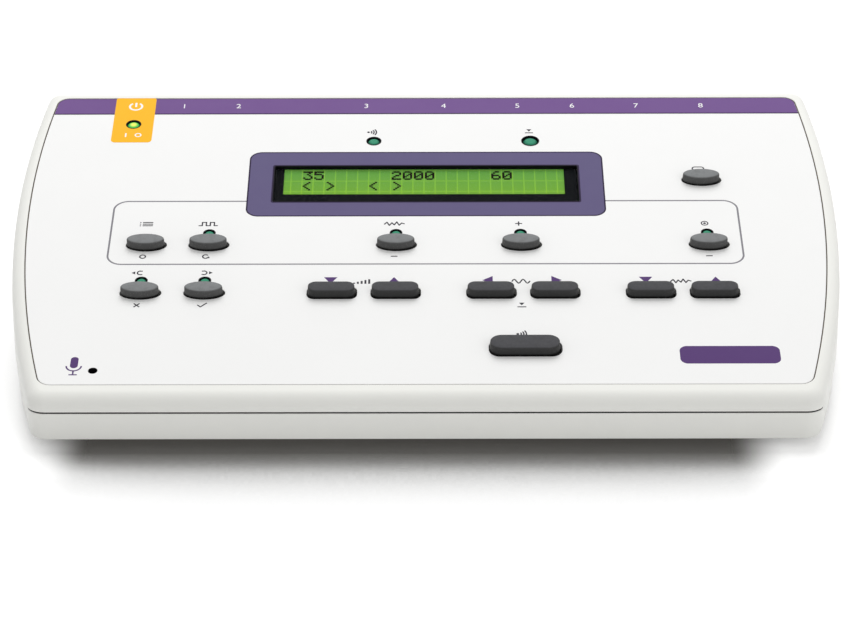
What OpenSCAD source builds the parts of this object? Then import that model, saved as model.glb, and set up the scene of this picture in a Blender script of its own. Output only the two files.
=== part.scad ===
// Desk audiometer: a wedge-shaped hearing tester with a sloping keyed face,
// a two-line display, fifteen sprung keys and a row of sockets on its back.
// Lengths are in millimetres. +X is to the right of someone using it, +Y is
// away from them and +Z is up. The origin is on the table, under the middle
// of the whole instrument.

/* [Case] */
// Greatest width of the case, across its bowed sides
case_w = 270; // [268:1:284]
// Depth of the case from its front wall to its rear wall
case_d = 161.5; // [160:0.5:172]
// Height at which the plane of the face meets the plane of the front wall
front_edge_h = 16.45; // [16:0.05:20]
// Slope of the face from front to rear, in degrees
face_slope = 15.4; // [15:0.1:17]
// Radius of the bow of the two sides, seen from above
side_bow_r = 378; // [350:1:440]
// Distance from the front wall to the widest place of the case
widest_at = 104; // [95:1:112]
// Wall thickness of the two shells
wall = 2.4; // [2.2:0.1:2.8]
// Rounding of the edge between the face and the front wall
front_edge_r = 5.2; // [4:0.1:5.5]
// Rounding of the side and rear edges of the face
rim_edge_r = 3; // [2.6:0.1:3.1]
// Radius of the front corners, seen from above
front_corner_r = 4.5; // [4.2:0.1:7]
// Radius of the rear corners, seen from above
rear_corner_r = 4; // [3.9:0.1:7]
// Height of the middle of the seam between the two shells
seam_h = 11.6; // [11:0.1:12.4]
// Width of the dark seam between the two shells
seam_gap = 0.5; // [0.3:0.1:0.8]
// Rounding of the lower edge of the base shell
base_edge_r = 1.6; // [0.8:0.1:2.2]
// Amount by which the base shell's side leans in from top to bottom
base_draft = 0.5; // [0.2:0.1:1]
// Amount by which the base shell is smaller than the top shell at the seam
base_step = 0.2; // [0.1:0.1:0.5]
// Thickness of the lip of the base shell that stands inside the top shell
lip_t = 1.2; // [1:0.1:1.6]
// Height by which that lip stands above the seam
lip_h = 2; // [1.5:0.1:2.5]
// Clearance between the lip and the top shell
lip_clear = 0.15; // [0.1:0.05:0.3]

/* [Feet and case screws] */
// Height of the case above the table
foot_h = 3; // [2.4:0.1:4]
// Radius of a rubber foot
foot_r = 6; // [5:0.5:8]
// Depth to which a foot is let into the base
foot_recess = 0.8; // [0.5:0.1:1]
// Distance of the front feet from the front wall
foot_front_at = 32; // [24:1:40]
// Distance of the rear feet from the rear wall
foot_rear_at = 30; // [24:1:40]
// Distance of the feet from the middle of the case
foot_x = 100; // [90:1:104]
// Distance of the front case screws from the front wall
screw_front_at = 14; // [13.5:0.5:15]
// Distance of the rear case screws from the rear wall
screw_rear_at = 15; // [14:0.5:18]
// Distance of the front case screws from the middle of the case
screw_front_x = 113; // [112.5:0.1:114]
// Distance of the rear case screws from the middle of the case
screw_rear_x = 120; // [119:0.5:121]
// Length of a case screw under its head
case_screw_l = 8; // [7:0.5:8.4]
// Thickness of the post's end that a case screw clamps
screw_seat_t = 5; // [4:0.5:5.5]

/* [Overlay and display] */
// Thickness of the printed sheet on the face
overlay_t = 0.5; // [0.3:0.05:0.6]
// Depth of the top of the sheet under the rim around it
overlay_sink = 0.1; // [0.05:0.05:0.2]
// Gap between the edge of the sheet and its recess
overlay_gap = 0.25; // [0.15:0.05:0.4]
// Distance of the sheet's side edge inside the widest place of the case
overlay_side = 4.6; // [4.2:0.1:6]
// Distance of the sheet's front edge from the front wall's plane
overlay_front = 7; // [6.8:0.1:8]
// Distance of the sheet's rear edge from the rear wall's plane
overlay_rear = 5.5; // [5.2:0.1:7]
// Width of the display's cut-out in the sheet
window_w = 101.2; // [98:0.1:101.6]
// Length of the display's cut-out along the slope
window_l = 20.1; // [18:0.1:21]
// Place of the middle of the display's cut-out along the slope
window_v = 111.65; // [111:0.05:112.5]
// Thickness of the clear pane under the cut-out
pane_t = 0.5; // [0.4:0.1:0.8]
// Width of the ledge that holds the pane all round
pane_ledge = 1.3; // [1:0.1:1.8]
// Sideways place of the display module
lcd_u = -0.65; // [-1:0.05:0]
// Place of the middle of the display's green field along the slope
lcd_v = 115; // [114.6:0.1:115.4]
// Width of the display's green field
lcd_view_w = 93.5; // [88:0.5:94]
// Length of the display's green field along the slope
lcd_view_l = 15.8; // [14:0.1:16.4]
// Width of the display's metal frame on the left and right of the green field
bezel_rim_w = 4.25; // [4:0.05:4.7]
// Width of the display's metal frame behind and before the green field
bezel_rim_l = 5.6; // [5.4:0.05:5.9]
// Sheet thickness of the display's metal frame
bezel_t = 0.3; // [0.2:0.05:0.4]
// Thickness of the display's glass
lcd_glass_t = 2.5; // [2:0.1:2.8]
// Thickness of the display's backlight
backlight_t = 2.6; // [2:0.1:2.8]
// Distance by which the display's circuit board is wider than the metal frame, on each side
lcd_board_side = 8; // [7.5:0.1:8]
// Distance by which that board is longer than the metal frame, at each end
lcd_board_end = 4.5; // [4.2:0.1:4.7]
// Distance from the middle of the green field down to the middle of the display's board
lcd_board_drop = 1; // [0.8:0.1:1.4]

/* [Keys] */
// Sideways place of the mask key, which the key grid is counted from
key_u0 = -9.7; // [-10:0.1:-9.4]
// Spacing of the key grid's columns
key_pitch = 10.12; // [10.05:0.01:10.2]
// Place of the row of function keys along the slope
function_row = 77.8; // [77:0.1:78.5]
// Place of the row of ear keys and arrow keys along the slope
arrow_row = 52.5; // [52:0.1:54]
// Place of the tone key along the slope
tone_row = 24.4; // [23.5:0.1:27]
// Place of the talk-over key along the slope
talk_row = 113.5; // [112:0.1:115]
// Height of the keys above the face
key_rise = 2.8; // [2.2:0.1:3.4]
// Travel of a key
key_travel = 1; // [0.7:0.1:1.1]
// Length of an oval key across the face
oval_w = 12.3; // [11.6:0.1:12.6]
// Length of an oval key along the slope
oval_l = 5.8; // [5.2:0.1:6]
// Length of an arrow key across the face
arrow_w = 15; // [14.4:0.1:15.4]
// Length of an arrow key along the slope
arrow_l = 5.4; // [5:0.1:5.8]
// Length of the tone key across the face
tone_w = 21.8; // [20.6:0.1:22.4]
// Length of the tone key along the slope
tone_l = 7.2; // [6.8:0.1:7.4]
// Corner radius of the arrow keys
arrow_corner_r = 1.9; // [1.2:0.1:2.2]
// Corner radius of the tone key
tone_corner_r = 2.9; // [2:0.1:3]
// Gap between a key and its hole
key_gap = 0.5; // [0.4:0.05:0.6]
// Amount by which a key's side leans in from the face to its top
key_draft = 0.15; // [0.1:0.05:0.25]
// Rounding of a key's top edge
key_edge_r = 0.5; // [0.3:0.05:0.7]
// Width of the flange that holds a key under the face
key_flange = 0.8; // [0.6:0.05:0.9]
// Thickness of that flange
key_flange_t = 1; // [0.8:0.1:1.2]
// Clearance of a resting key under the face
key_clear = 0.1; // [0.05:0.05:0.2]
// Radius of a key's stem
stem_r = 1.5; // [1.2:0.1:1.7]
// Depth to which a resting stem reaches into its switch
stem_in = 0.4; // [0.3:0.1:0.5]

/* [Lamps and microphone] */
// Distance of a lamp behind the key that it belongs to
key_lamp_up = 6.4; // [6.3:0.05:6.7]
// Radius of the face's hole for a key lamp
key_lamp_r = 1.85; // [1.75:0.05:1.9]
// Radius of the hole for the tone lamp
tone_lamp_r = 2.35; // [2.2:0.05:2.6]
// Radius of the hole for the response lamp
response_lamp_r = 2.85; // [2.6:0.05:2.9]
// Radius of the hole for the power lamp
power_lamp_r = 2.4; // [2.2:0.05:2.6]
// Sideways place of the tone lamp
tone_lamp_u = -17.7; // [-20:0.1:-15]
// Sideways place of the response lamp
response_lamp_u = 35.3; // [33:0.1:38]
// Place of those two lamps along the slope
lamp_row = 136.3; // [136.2:0.1:138]
// Sideways place of the power lamp
power_lamp_u = -100; // [-102:0.1:-98]
// Place of the power lamp along the slope
power_lamp_v = 146.5; // [145.5:0.1:147]
// Gap between a lamp and its hole
lamp_gap = 0.35; // [0.3:0.05:0.45]
// Depth of a lamp's top under the face
lamp_sink = 0.3; // [0.2:0.05:0.5]
// Length of a lamp's own body
lamp_l = 5; // [4:0.5:6]
// Sideways place of the microphone
mic_u = -102.1; // [-102.5:0.1:-100]
// Place of the microphone along the slope
mic_v = 13.7; // [13:0.1:15]
// Radius of the microphone's hole
mic_hole_r = 1.45; // [1.2:0.05:1.6]
// Radius of the microphone capsule
mic_r = 3; // [2.6:0.1:3.1]
// Length of the microphone capsule
mic_l = 4; // [3:0.5:4.5]
// Wall of the microphone's rubber boot
boot_t = 1.2; // [0.8:0.1:1.3]

/* [Circuit boards] */
// Thickness of the circuit boards
board_t = 1.6; // [1.4:0.1:1.8]
// Depth of the key board's top under the face
key_board_depth = 11; // [10.8:0.1:11.4]
// Half of the key board's width
key_board_half_w = 110; // [108:0.5:110]
// Place of the key board's front edge along the slope
key_board_v0 = 18; // [17.6:0.1:18.2]
// Place of the key board's rear edge along the slope
key_board_v1 = 151; // [150:0.5:152]
// Width and length of a push switch's body
switch_w = 6; // [5.6:0.1:6.2]
// Height of a push switch's body
switch_h = 3.5; // [3.2:0.1:3.8]
// Height of the main board's top above the table
main_board_h = 20; // [19.5:0.1:20.5]
// Half of the main board's width
main_board_half_w = 112; // [110:0.5:112]
// Length of the main board from front to rear
main_board_l = 76; // [74:1:78]
// Distance from the main board's rear edge to the inside of the rear wall
main_board_gap = 1; // [0.6:0.1:2]
// Radius of a board screw's shank
board_screw_r = 1.2; // [1:0.05:1.3]
// Width of the flat cable between the boards
ribbon_w = 24; // [20:1:26]
// Thickness of the flat cable
ribbon_t = 1; // [0.8:0.1:1.2]

/* [Sockets and power switch] */
// Distance by which the socket bushes stand out of the rear wall
bush_reach = 3.5; // [3.2:0.1:4.5]
// Radius of a jack socket's hole, for a 6.35 mm plug
jack_r = 3.25; // [3.2:0.01:3.35]
// Length of a jack socket's hole
jack_l = 31; // [29:0.5:33]
// Outer radius of a jack socket's bush
bush_r = 4.7; // [4.6:0.05:4.9]
// Width and height of a jack socket's body
jack_w = 15.5; // [14.5:0.1:16]
// Thickness of a jack socket's end behind its hole
jack_end_t = 1.9; // [1.5:0.1:2.5]
// Outer radius of a jack socket's nut
nut_r = 7.2; // [6.6:0.1:7.6]
// Thickness of a jack socket's nut
nut_t = 2.7; // [2.2:0.1:3]
// Sideways place of the patient button's socket
response_x = -83.3; // [-84:0.1:-83]
// Sideways place of the power socket
power_x = -64.6; // [-66:0.1:-63]
// Sideways place of the data socket
usb_x = -20.6; // [-24:0.1:-18]
// Sideways place of the printer socket
printer_x = 6; // [4:0.1:8]
// Sideways place of the insert earphone's socket
insert_x = 31.4; // [31:0.1:32]
// Sideways place of the bone conductor's socket
bone_x = 50.2; // [49.5:0.1:51]
// Sideways place of the left earphone's socket
left_x = 72.2; // [71:0.1:73]
// Sideways place of the right earphone's socket
right_x = 94.5; // [93:0.1:95]
// Sideways place of the power switch
rocker_x = -100; // [-101:0.1:-99.5]
// Height of the power switch's axle above the table
rocker_h = 32; // [31:0.1:34]
// Width of the power switch's rocker
rocker_w = 10.4; // [9:0.1:10.6]
// Half of the rocker's height
rocker_half = 6.2; // [5.6:0.1:6.4]
// Angle that the rocker leans to each side
rocker_lean = 7; // [5:0.5:8]
// Radius of the rocker's axle
rocker_pin_r = 1.2; // [1:0.1:1.4]

/* [Hidden] */
$fn = 48;

// Colours
case_white = [0.93, 0.93, 0.92];
key_grey = [0.36, 0.37, 0.38];
key_black = [0.2, 0.2, 0.21];
band_purple = [0.38, 0.3, 0.5];
lcd_green = [0.45, 0.66, 0.24];
lamp_green = [0.2, 0.56, 0.42];
lamp_lit = [0.62, 0.85, 0.25];
board_green = [0.1, 0.36, 0.22];
soft_black = [0.08, 0.08, 0.09];
socket_black = [0.12, 0.12, 0.13];
steel = [0.72, 0.73, 0.75];

// The case
front_y = -(case_d + bush_reach) / 2;
rear_y = front_y + case_d;
rear_inner_y = rear_y - wall;
widest_y = front_y + widest_at;
face_l = case_d / cos(face_slope);
top_shell_z = seam_h + seam_gap / 2;
base_top_z = seam_h - seam_gap / 2;
floor_z = foot_h + wall;
least_r = 0.4;
corner_steps = 5;
bow_steps = 20;
rim_steps = 5;
base_edge_steps = 3;
past = 1;
touch = 0.05;
fuse = 0.5;

// The overlay and its recess
recess_depth = overlay_t + overlay_sink;
overlay_corner_r = 3.2;
overlay_widest_v = (widest_at - 1.2) / cos(face_slope);
overlay_bow_r = (side_bow_r - overlay_side) / pow(cos(face_slope), 2);

// Depths of the display's layers under the face
pane_depth = recess_depth;
bezel_depth = pane_depth + pane_t + touch;
lcd_glass_depth = bezel_depth + bezel_t;
backlight_depth = lcd_glass_depth + lcd_glass_t;
lcd_board_depth = backlight_depth + backlight_t;
bezel_w = lcd_view_w + 2 * bezel_rim_w;
bezel_l = lcd_view_l + 2 * bezel_rim_l;
lcd_board_w = bezel_w + 2 * lcd_board_side;
lcd_board_l = bezel_l + 2 * lcd_board_end;
lcd_board_v = lcd_v - lcd_board_drop;
lcd_screw_u = bezel_w / 2 + 4.5;
lcd_screw_v = lcd_board_l / 2 - 3.5;
bezel_clear = 0.3;
pane_w = bezel_w + 2 * (bezel_clear + pane_ledge);
pane_l = bezel_l + 2 * (bezel_clear + pane_ledge);
pane_fit = 0.1;
lcd_boss_r = 2.6;
lcd_screw_r = 0.95;
lcd_screw_l = 3.6;

// The keys and their switches
hole_shift = 0.2;
key_points = 32;
flange_depth = wall + key_clear;
switch_depth = key_board_depth - switch_h;
stem_depth = switch_depth + stem_in;
switch_bore_r = stem_r + 0.15;
switch_bore_l = stem_in + key_travel + 0.2;
menu_u = key_u(-8);
pulse_u = key_u(-6);
level_down_u = key_u(-2);
mask_u = key_u(0);
frequency_down_u = key_u(3);
boost_u = key_u(4);
frequency_up_u = key_u(5);
masking_down_u = key_u(8);
bone_u = key_u(10);
oval_keys = [
    [menu_u, function_row],
    [pulse_u, function_row],
    [mask_u, function_row],
    [boost_u, function_row],
    [bone_u, function_row],
    [menu_u, arrow_row],
    [pulse_u, arrow_row],
    [bone_u, talk_row]
];
arrow_keys = [
    [level_down_u, arrow_row],
    [mask_u, arrow_row],
    [frequency_down_u, arrow_row],
    [frequency_up_u, arrow_row],
    [masking_down_u, arrow_row],
    [bone_u, arrow_row]
];
tone_key = [boost_u, tone_row];
key_places = concat(oval_keys, arrow_keys, [tone_key]);

// The lamps: place across and along the face, and radius of the hole
key_lamps = [
    [pulse_u, function_row],
    [mask_u, function_row],
    [boost_u, function_row],
    [bone_u, function_row],
    [menu_u, arrow_row],
    [pulse_u, arrow_row]
];
indicator_places = concat(
    [for (p = key_lamps) [p[0], p[1] + key_lamp_up, key_lamp_r]],
    [[tone_lamp_u, lamp_row, tone_lamp_r], [response_lamp_u, lamp_row, response_lamp_r]]
);
power_place = [power_lamp_u, power_lamp_v, power_lamp_r];
lamp_places = concat(indicator_places, [power_place]);
lamp_foot_depth = lamp_sink + lamp_l;

// The microphone
boot_r = mic_r + boot_t;
boot_l = mic_l + 2 * boot_t;
collar_t = 1.1;
collar_l = 4;

// The key board's bosses
key_boss_r = 3;
key_boss_places = [[-104, 66], [105, 66], [-50, 30], [80, 30], [-75, 144], [78, 144]];
board_head_r = 2.5;
board_head_h = 1.5;
board_screw_l = 6;

// The main board and its posts
main_board_y1 = rear_inner_y - main_board_gap;
main_board_y0 = main_board_y1 - main_board_l;
main_board_z0 = main_board_h - board_t;
main_post_r = 3.2;
main_screw_x = main_board_half_w - 5;
main_screw_in = 5;
main_screw_places = [
    [-main_screw_x, main_board_y0 + main_screw_in],
    [main_screw_x, main_board_y0 + main_screw_in],
    [-main_screw_x, main_board_y1 - 30],
    [main_screw_x + 1, main_board_y1 - 34]
];

// The flat cable's ends
ribbon_x = 10;
ribbon_y0 = main_board_y0 + 22;
ribbon_v1 = 124;
header_h = 4;

// The case screws
case_post_r = 4.6;
case_boss_r = 3.4;
case_head_r = 2.8;
case_head_h = 2;
case_shank_r = 1.45;
case_seat_z = base_top_z + lip_h - screw_seat_t;
case_boss_z = base_top_z + lip_h;
case_screw_places = [
    [-screw_front_x, front_y + screw_front_at],
    [screw_front_x, front_y + screw_front_at],
    [-screw_rear_x, rear_y - screw_rear_at],
    [screw_rear_x, rear_y - screw_rear_at]
];
foot_places = [
    [-foot_x, front_y + foot_front_at],
    [foot_x, front_y + foot_front_at],
    [-foot_x, rear_y - foot_rear_at],
    [foot_x, rear_y - foot_rear_at]
];

// The sockets
jack_places = [response_x, insert_x, bone_x, left_x, right_x];
jack_z = main_board_h + jack_w / 2;
bush_end_y = rear_y + bush_reach;
jack_rear_l = jack_l - bush_reach - wall + jack_end_t;
socket_proud = 0.6;
socket_clear = 0.2;
usb_w = 12;
usb_h = 11;
usb_l = 16;
usb_sheet = 0.5;
usb_mouth_w = 8.5;
usb_mouth_h = 7.8;
usb_mouth_l = 9;
usb_tongue_w = 5.6;
usb_tongue_h = 3.2;
printer_w = 14;
printer_h = 13;
printer_l = 13;
printer_ring_r = 4.75;
printer_core_r = 3.6;
printer_ring_l = 6;
power_w = 9;
power_h = 11;
power_l = 14;
power_mouth_r = 3;
power_mouth_l = 9.5;
power_pin_r = 1;

// The power switch
rocker_y = rear_y - 2;
rocker_play = 0.3;
rocker_face_y = 4.2;
rocker_valley_y = 3.2;
rocker_back_y = -2.6;
rocker_back_half = 3;
rocker_pin_l = rocker_w / 2 + 0.9;
rocker_room_half = rocker_half + 0.5 + rocker_play;
switch_body_w = rocker_w + 2 * rocker_play + 2.4;
switch_body_h = 2 * rocker_room_half + 5.2;
switch_body_l = 17;
switch_rim = 1;
switch_rim_t = 1.6;
tab_w = 4.8;
tab_t = 0.8;
tab_l = 7;
tab_z = 5;

// Sideways place of a column of the key grid
function key_u(column) = key_u0 + column * key_pitch;

// Height of the face's plane above the table
function face_z(y) = front_edge_h + (y - front_y) * tan(face_slope);

// A point at an angle on an arc, with that angle kept for the rounding
function arc_point(centre, r, a) = [centre[0] + r * cos(a), centre[1] + r * sin(a), a];

// Right half of a bow-sided outline, from its front corner to its rear corner
function bow_half(half_w, bow_r, mid, y0, y1, r0, r1) =
    let (
        bow_x = half_w - bow_r,
        c0 = [bow_x + sqrt(pow(bow_r - r0, 2) - pow(y0 + r0 - mid, 2)), y0 + r0],
        c1 = [bow_x + sqrt(pow(bow_r - r1, 2) - pow(y1 - r1 - mid, 2)), y1 - r1],
        a0 = atan2(c0[1] - mid, c0[0] - bow_x),
        a1 = atan2(c1[1] - mid, c1[0] - bow_x)
    )
    concat(
        [for (i = [0:corner_steps]) arc_point(c0, r0, -90 + (a0 + 90) * i / corner_steps)],
        [for (i = [1:bow_steps - 1]) arc_point([bow_x, mid], bow_r, a0 + (a1 - a0) * i / bow_steps)],
        [for (i = [0:corner_steps]) arc_point(c1, r1, a1 + (90 - a1) * i / corner_steps)]
    );

// Whole outline: the right half, then its mirror image from rear to front
function both_halves(half) = concat(
    half,
    [for (i = [len(half) - 1:-1:0]) [-half[i][0], half[i][1], 180 - half[i][2]]]
);

// Outline of the case, seen from above, drawn in by an inset
function case_outline(inset) = both_halves(bow_half(
    case_w / 2 - inset,
    side_bow_r - inset,
    widest_y,
    front_y + inset,
    rear_y - inset,
    max(front_corner_r - inset, least_r),
    max(rear_corner_r - inset, least_r)
));

// Outline of the printed sheet on the face, made larger by a margin
function overlay_outline(margin) = both_halves(bow_half(
    case_w / 2 - overlay_side + margin,
    overlay_bow_r + margin,
    overlay_widest_v,
    overlay_front - margin,
    face_l - overlay_rear + margin,
    overlay_corner_r + margin,
    overlay_corner_r + margin
));

// Corners of a round-cornered rectangle, centred
function rounded_rect(w, l, r) = [
    for (q = [0:3])
    for (i = [0:key_points / 4 - 1])
    let (
        a = q * 90 + i * 90 / (key_points / 4 - 1),
        sx = (q == 0 || q == 3) ? 1 : -1,
        sy = q < 2 ? 1 : -1
    )
    [sx * (w / 2 - r) + r * cos(a), sy * (l / 2 - r) + r * sin(a)]
];

// Points of an ellipse, centred
function ellipse_ring(w, l) = [
    for (i = [0:key_points - 1]) [w / 2 * cos(360 * i / key_points), l / 2 * sin(360 * i / key_points)]
];

// Outline of a key: an ellipse where it has no corner radius
function key_ring(w, l, corner_r, inset) = corner_r == 0
    ? ellipse_ring(w - 2 * inset, l - 2 * inset)
    : rounded_rect(w - 2 * inset, l - 2 * inset, max(corner_r - inset, least_r));

// The same flat outline at a height
function at_height(outline, z) = [for (p = outline) [p[0], p[1], z]];

// Point at a share t of the way over the rounded rim, from the wall to the face
function rim_point(p, t, inset, drop) =
    let (
        rise = atan(tan(face_slope) * sin(p[2])),
        wanted_r = rim_edge_r + (front_edge_r - rim_edge_r) * pow(max(0, -sin(p[2])), 2) - inset,
        corner_r = (sin(p[2]) > 0 ? rear_corner_r : front_corner_r) - inset,
        r = max(min(wanted_r, max(corner_r, least_r) / (1 + sin(rise))), least_r),
        cx = p[0] - r * cos(p[2]),
        cy = p[1] - r * sin(p[2]),
        a = (90 + rise) * t,
        cz = face_z(cy) - drop - r / cos(rise)
    )
    [cx + r * cos(a) * cos(p[2]), cy + r * cos(a) * sin(p[2]), cz + r * sin(a)];

// Rings of a form with upright walls, a rounded rim and the flat sloping face
function wedge_rings(inset, z0, drop) =
    let (edge = case_outline(inset))
    concat(
        [at_height(edge, z0)],
        [for (k = [0:rim_steps]) [for (p = edge) rim_point(p, k / rim_steps, inset, drop)]]
    );

// Rings of the base shell's outside, from its rounded lower edge to the seam
function base_rings() = concat(
    [
        for (k = [0:base_edge_steps])
        let (a = 90 * k / base_edge_steps)
        at_height(
            case_outline(base_step + base_draft + base_edge_r * (1 - sin(a))),
            foot_h + base_edge_r * (1 - cos(a))
        )
    ],
    [at_height(case_outline(base_step), base_top_z)]
);

// Point on a curve drawn by four control points
function curve_point(c, t) =
    pow(1 - t, 3) * c[0] + 3 * t * pow(1 - t, 2) * c[1] + 3 * t * t * (1 - t) * c[2] + pow(t, 3) * c[3];

// Closed solid through a stack of rings that all have as many points
module lofted(rings)
{
    n = len(rings[0]);
    sides = [
        for (k = [0:len(rings) - 2])
        for (i = [0:n - 1])
        [k * n + i, (k + 1) * n + i, (k + 1) * n + (i + 1) % n, k * n + (i + 1) % n]
    ];
    bottom = [for (i = [0:n - 1]) i];
    top = [for (i = [n - 1:-1:0]) (len(rings) - 1) * n + i];
    polyhedron([for (ring = rings) each ring], concat([bottom, top], sides));
}

// Puts its children on the face: x across, y up the slope, z out of the face
module on_face(u, v, depth)
{
    translate([0, front_y, front_edge_h])
        rotate([face_slope, 0, 0])
        translate([u, v, -depth])
        children();
}

// Cuts its children off at a depth under the face
module cut_under_face(depth)
{
    difference()
    {
        children();
        on_face(0, face_l / 2, depth)
            translate([-case_w, -case_w, 0])
            cube(2 * case_w);
    }
}

// Flat plate from an outline
module plate(outline, h)
{
    linear_extrude(height = h)
        polygon([for (p = outline) [p[0], p[1]]]);
}

// Box centred in x and y that stands on z = 0
module block(w, l, h)
{
    translate([-w / 2, -l / 2, 0])
        cube([w, l, h]);
}

// Cylinder along +Y from a point
module rod_y(r, l)
{
    rotate([-90, 0, 0])
        cylinder(r = r, h = l);
}

// Holes of the keys, lamps and microphone, down from above the face
module control_holes(depth)
{
    for (p = oval_keys)
        on_face(p[0] + hole_shift, p[1], depth)
        plate(key_ring(oval_w, oval_l, 0, -key_gap), depth + past);
    for (p = arrow_keys)
        on_face(p[0] + hole_shift, p[1], depth)
        plate(key_ring(arrow_w, arrow_l, arrow_corner_r, -key_gap), depth + past);
    on_face(tone_key[0] + hole_shift, tone_key[1], depth)
        plate(key_ring(tone_w, tone_l, tone_corner_r, -key_gap), depth + past);
    for (p = lamp_places)
        on_face(p[0], p[1], depth)
        cylinder(r = p[2], h = depth + past);
    on_face(mic_u, mic_v, depth)
        cylinder(r = mic_hole_r, h = depth + past);
}

// Bosses under the face for the boards, the microphone's collar and the case screws' bosses
module face_bosses()
{
    for (p = key_boss_places)
        on_face(p[0], p[1], key_board_depth)
        cylinder(r = key_boss_r, h = key_board_depth - wall + fuse);
    for (sx = [-1, 1], sy = [-1, 1])
        on_face(lcd_u + sx * lcd_screw_u, lcd_board_v + sy * lcd_screw_v, lcd_board_depth)
        cylinder(r = lcd_boss_r, h = lcd_board_depth - wall + fuse);
    on_face(mic_u, mic_v, wall + collar_l)
        difference()
        {
            cylinder(r = boot_r + touch + collar_t, h = collar_l + fuse);
            translate([0, 0, -past])
                cylinder(r = boot_r + touch, h = collar_l + past);
        }
    cut_under_face(wall - fuse)
        for (p = case_screw_places)
        translate([p[0], p[1], case_boss_z])
        cylinder(r = case_boss_r, h = face_z(p[1]));
}

// Blind holes in the bosses for their screws
module boss_bores()
{
    for (p = key_boss_places)
        on_face(p[0], p[1], key_board_depth + past)
        cylinder(r = board_screw_r + touch, h = board_screw_l + past);
    for (sx = [-1, 1], sy = [-1, 1])
        on_face(lcd_u + sx * lcd_screw_u, lcd_board_v + sy * lcd_screw_v, lcd_board_depth + past)
        cylinder(r = lcd_screw_r + touch, h = lcd_screw_l - board_t + past + touch);
    for (p = case_screw_places)
        translate([p[0], p[1], case_boss_z - past])
        cylinder(r = case_shank_r + touch, h = case_screw_l - screw_seat_t + past + 0.3);
}

// Cuts in the rear wall for the sockets and the power switch
module rear_cuts()
{
    for (x = jack_places)
        translate([x, rear_inner_y - past, jack_z])
        rod_y(bush_r + socket_clear, wall + 2 * past);
    rear_slot(usb_x, usb_w, usb_h);
    rear_slot(printer_x, printer_w, printer_h);
    rear_slot(power_x, power_w, power_h);
    translate([rocker_x, rear_inner_y + wall / 2, rocker_h - switch_body_h / 2 - socket_clear])
        block(switch_body_w + 2 * socket_clear, wall + 2 * past, switch_body_h + 2 * socket_clear);
}

// Rectangular cut in the rear wall around a socket that stands on the main board
module rear_slot(x, w, h)
{
    translate([x - w / 2 - socket_clear, rear_inner_y - past, main_board_h - socket_clear])
        cube([w + 2 * socket_clear, wall + 2 * past, h + 2 * socket_clear]);
}

// Upper half of the case, with the sloping face
module top_shell()
{
    color(case_white)
        difference()
        {
            union()
            {
                difference()
                {
                    lofted(wedge_rings(0, top_shell_z, 0));
                    lofted(wedge_rings(wall, top_shell_z - past, wall / cos(face_slope)));
                }
                face_bosses();
            }
            on_face(0, 0, recess_depth)
                plate(overlay_outline(overlay_gap), recess_depth + past);
            on_face(lcd_u, lcd_v, pane_depth + pane_t)
                block(pane_w + 2 * pane_fit, pane_l + 2 * pane_fit, pane_t + past);
            on_face(lcd_u, lcd_v, wall + past)
                block(bezel_w + 2 * bezel_clear, bezel_l + 2 * bezel_clear, wall + past - pane_depth);
            control_holes(wall + past);
            boss_bores();
            rear_cuts();
        }
}

// Lower half of the case: floor, low wall, lip, posts and screw holes
module base_shell()
{
    inner = wall + lip_clear + lip_t;
    color(case_white)
        difference()
        {
            union()
            {
                difference()
                {
                    lofted(base_rings());
                    translate([0, 0, floor_z])
                        plate(case_outline(inner), base_top_z);
                }
                translate([0, 0, base_top_z - fuse])
                    difference()
                    {
                        plate(case_outline(wall + lip_clear), lip_h + fuse);
                        translate([0, 0, -past])
                            plate(case_outline(inner), lip_h + fuse + 2 * past);
                    }
                for (p = case_screw_places)
                    translate([p[0], p[1], floor_z - fuse])
                    cylinder(r = case_post_r, h = case_boss_z - floor_z + fuse);
                for (p = main_screw_places)
                    translate([p[0], p[1], floor_z - fuse])
                    cylinder(r = main_post_r, h = main_board_z0 - floor_z + fuse);
            }
            for (p = case_screw_places)
                translate([p[0], p[1], 0])
                {
                    cylinder(r = case_head_r + 0.4, h = case_seat_z);
                    cylinder(r = case_shank_r + 0.2, h = case_boss_z + past);
                }
            for (p = main_screw_places)
                translate([p[0], p[1], main_board_z0 - board_screw_l + board_t])
                cylinder(r = board_screw_r + touch, h = board_screw_l + past);
            for (p = foot_places)
                translate([p[0], p[1], 0])
                cylinder(r = foot_r + touch, h = foot_h + foot_recess);
        }
}

// Printed sheet that lies in the face's recess
module face_overlay()
{
    color(case_white)
        difference()
        {
            on_face(0, 0, recess_depth)
                plate(overlay_outline(0), overlay_t);
            control_holes(wall);
            on_face(0, window_v, wall)
                block(window_w, window_l, wall + past);
        }
}

// Clear pane over the display
module display_window()
{
    color([0.8, 0.85, 0.85, 0.4])
        on_face(lcd_u, lcd_v, pane_depth + pane_t)
        block(pane_w, pane_l, pane_t);
}

// Black metal frame of the display
module lcd_bezel()
{
    color(soft_black)
        on_face(lcd_u, lcd_v, lcd_board_depth)
        difference()
        {
            block(bezel_w, bezel_l, lcd_board_depth - bezel_depth);
            translate([0, 0, -past])
                block(bezel_w - 2 * bezel_t, bezel_l - 2 * bezel_t, lcd_board_depth - lcd_glass_depth + past);
            block(lcd_view_w, lcd_view_l, lcd_board_depth);
        }
}

// Glass sandwich of the display
module lcd_glass()
{
    color(lcd_green)
        on_face(lcd_u, lcd_v, backlight_depth)
        block(bezel_w - 2 * bezel_t - 2 * touch, bezel_l - 2 * bezel_t - 2 * touch, lcd_glass_t);
}

// Backlight behind the display's glass
module lcd_backlight()
{
    color([0.9, 0.92, 0.85])
        on_face(lcd_u, lcd_v, lcd_board_depth)
        block(bezel_w - 2 * bezel_t - 2, bezel_l - 2 * bezel_t - 2, backlight_t);
}

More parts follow.
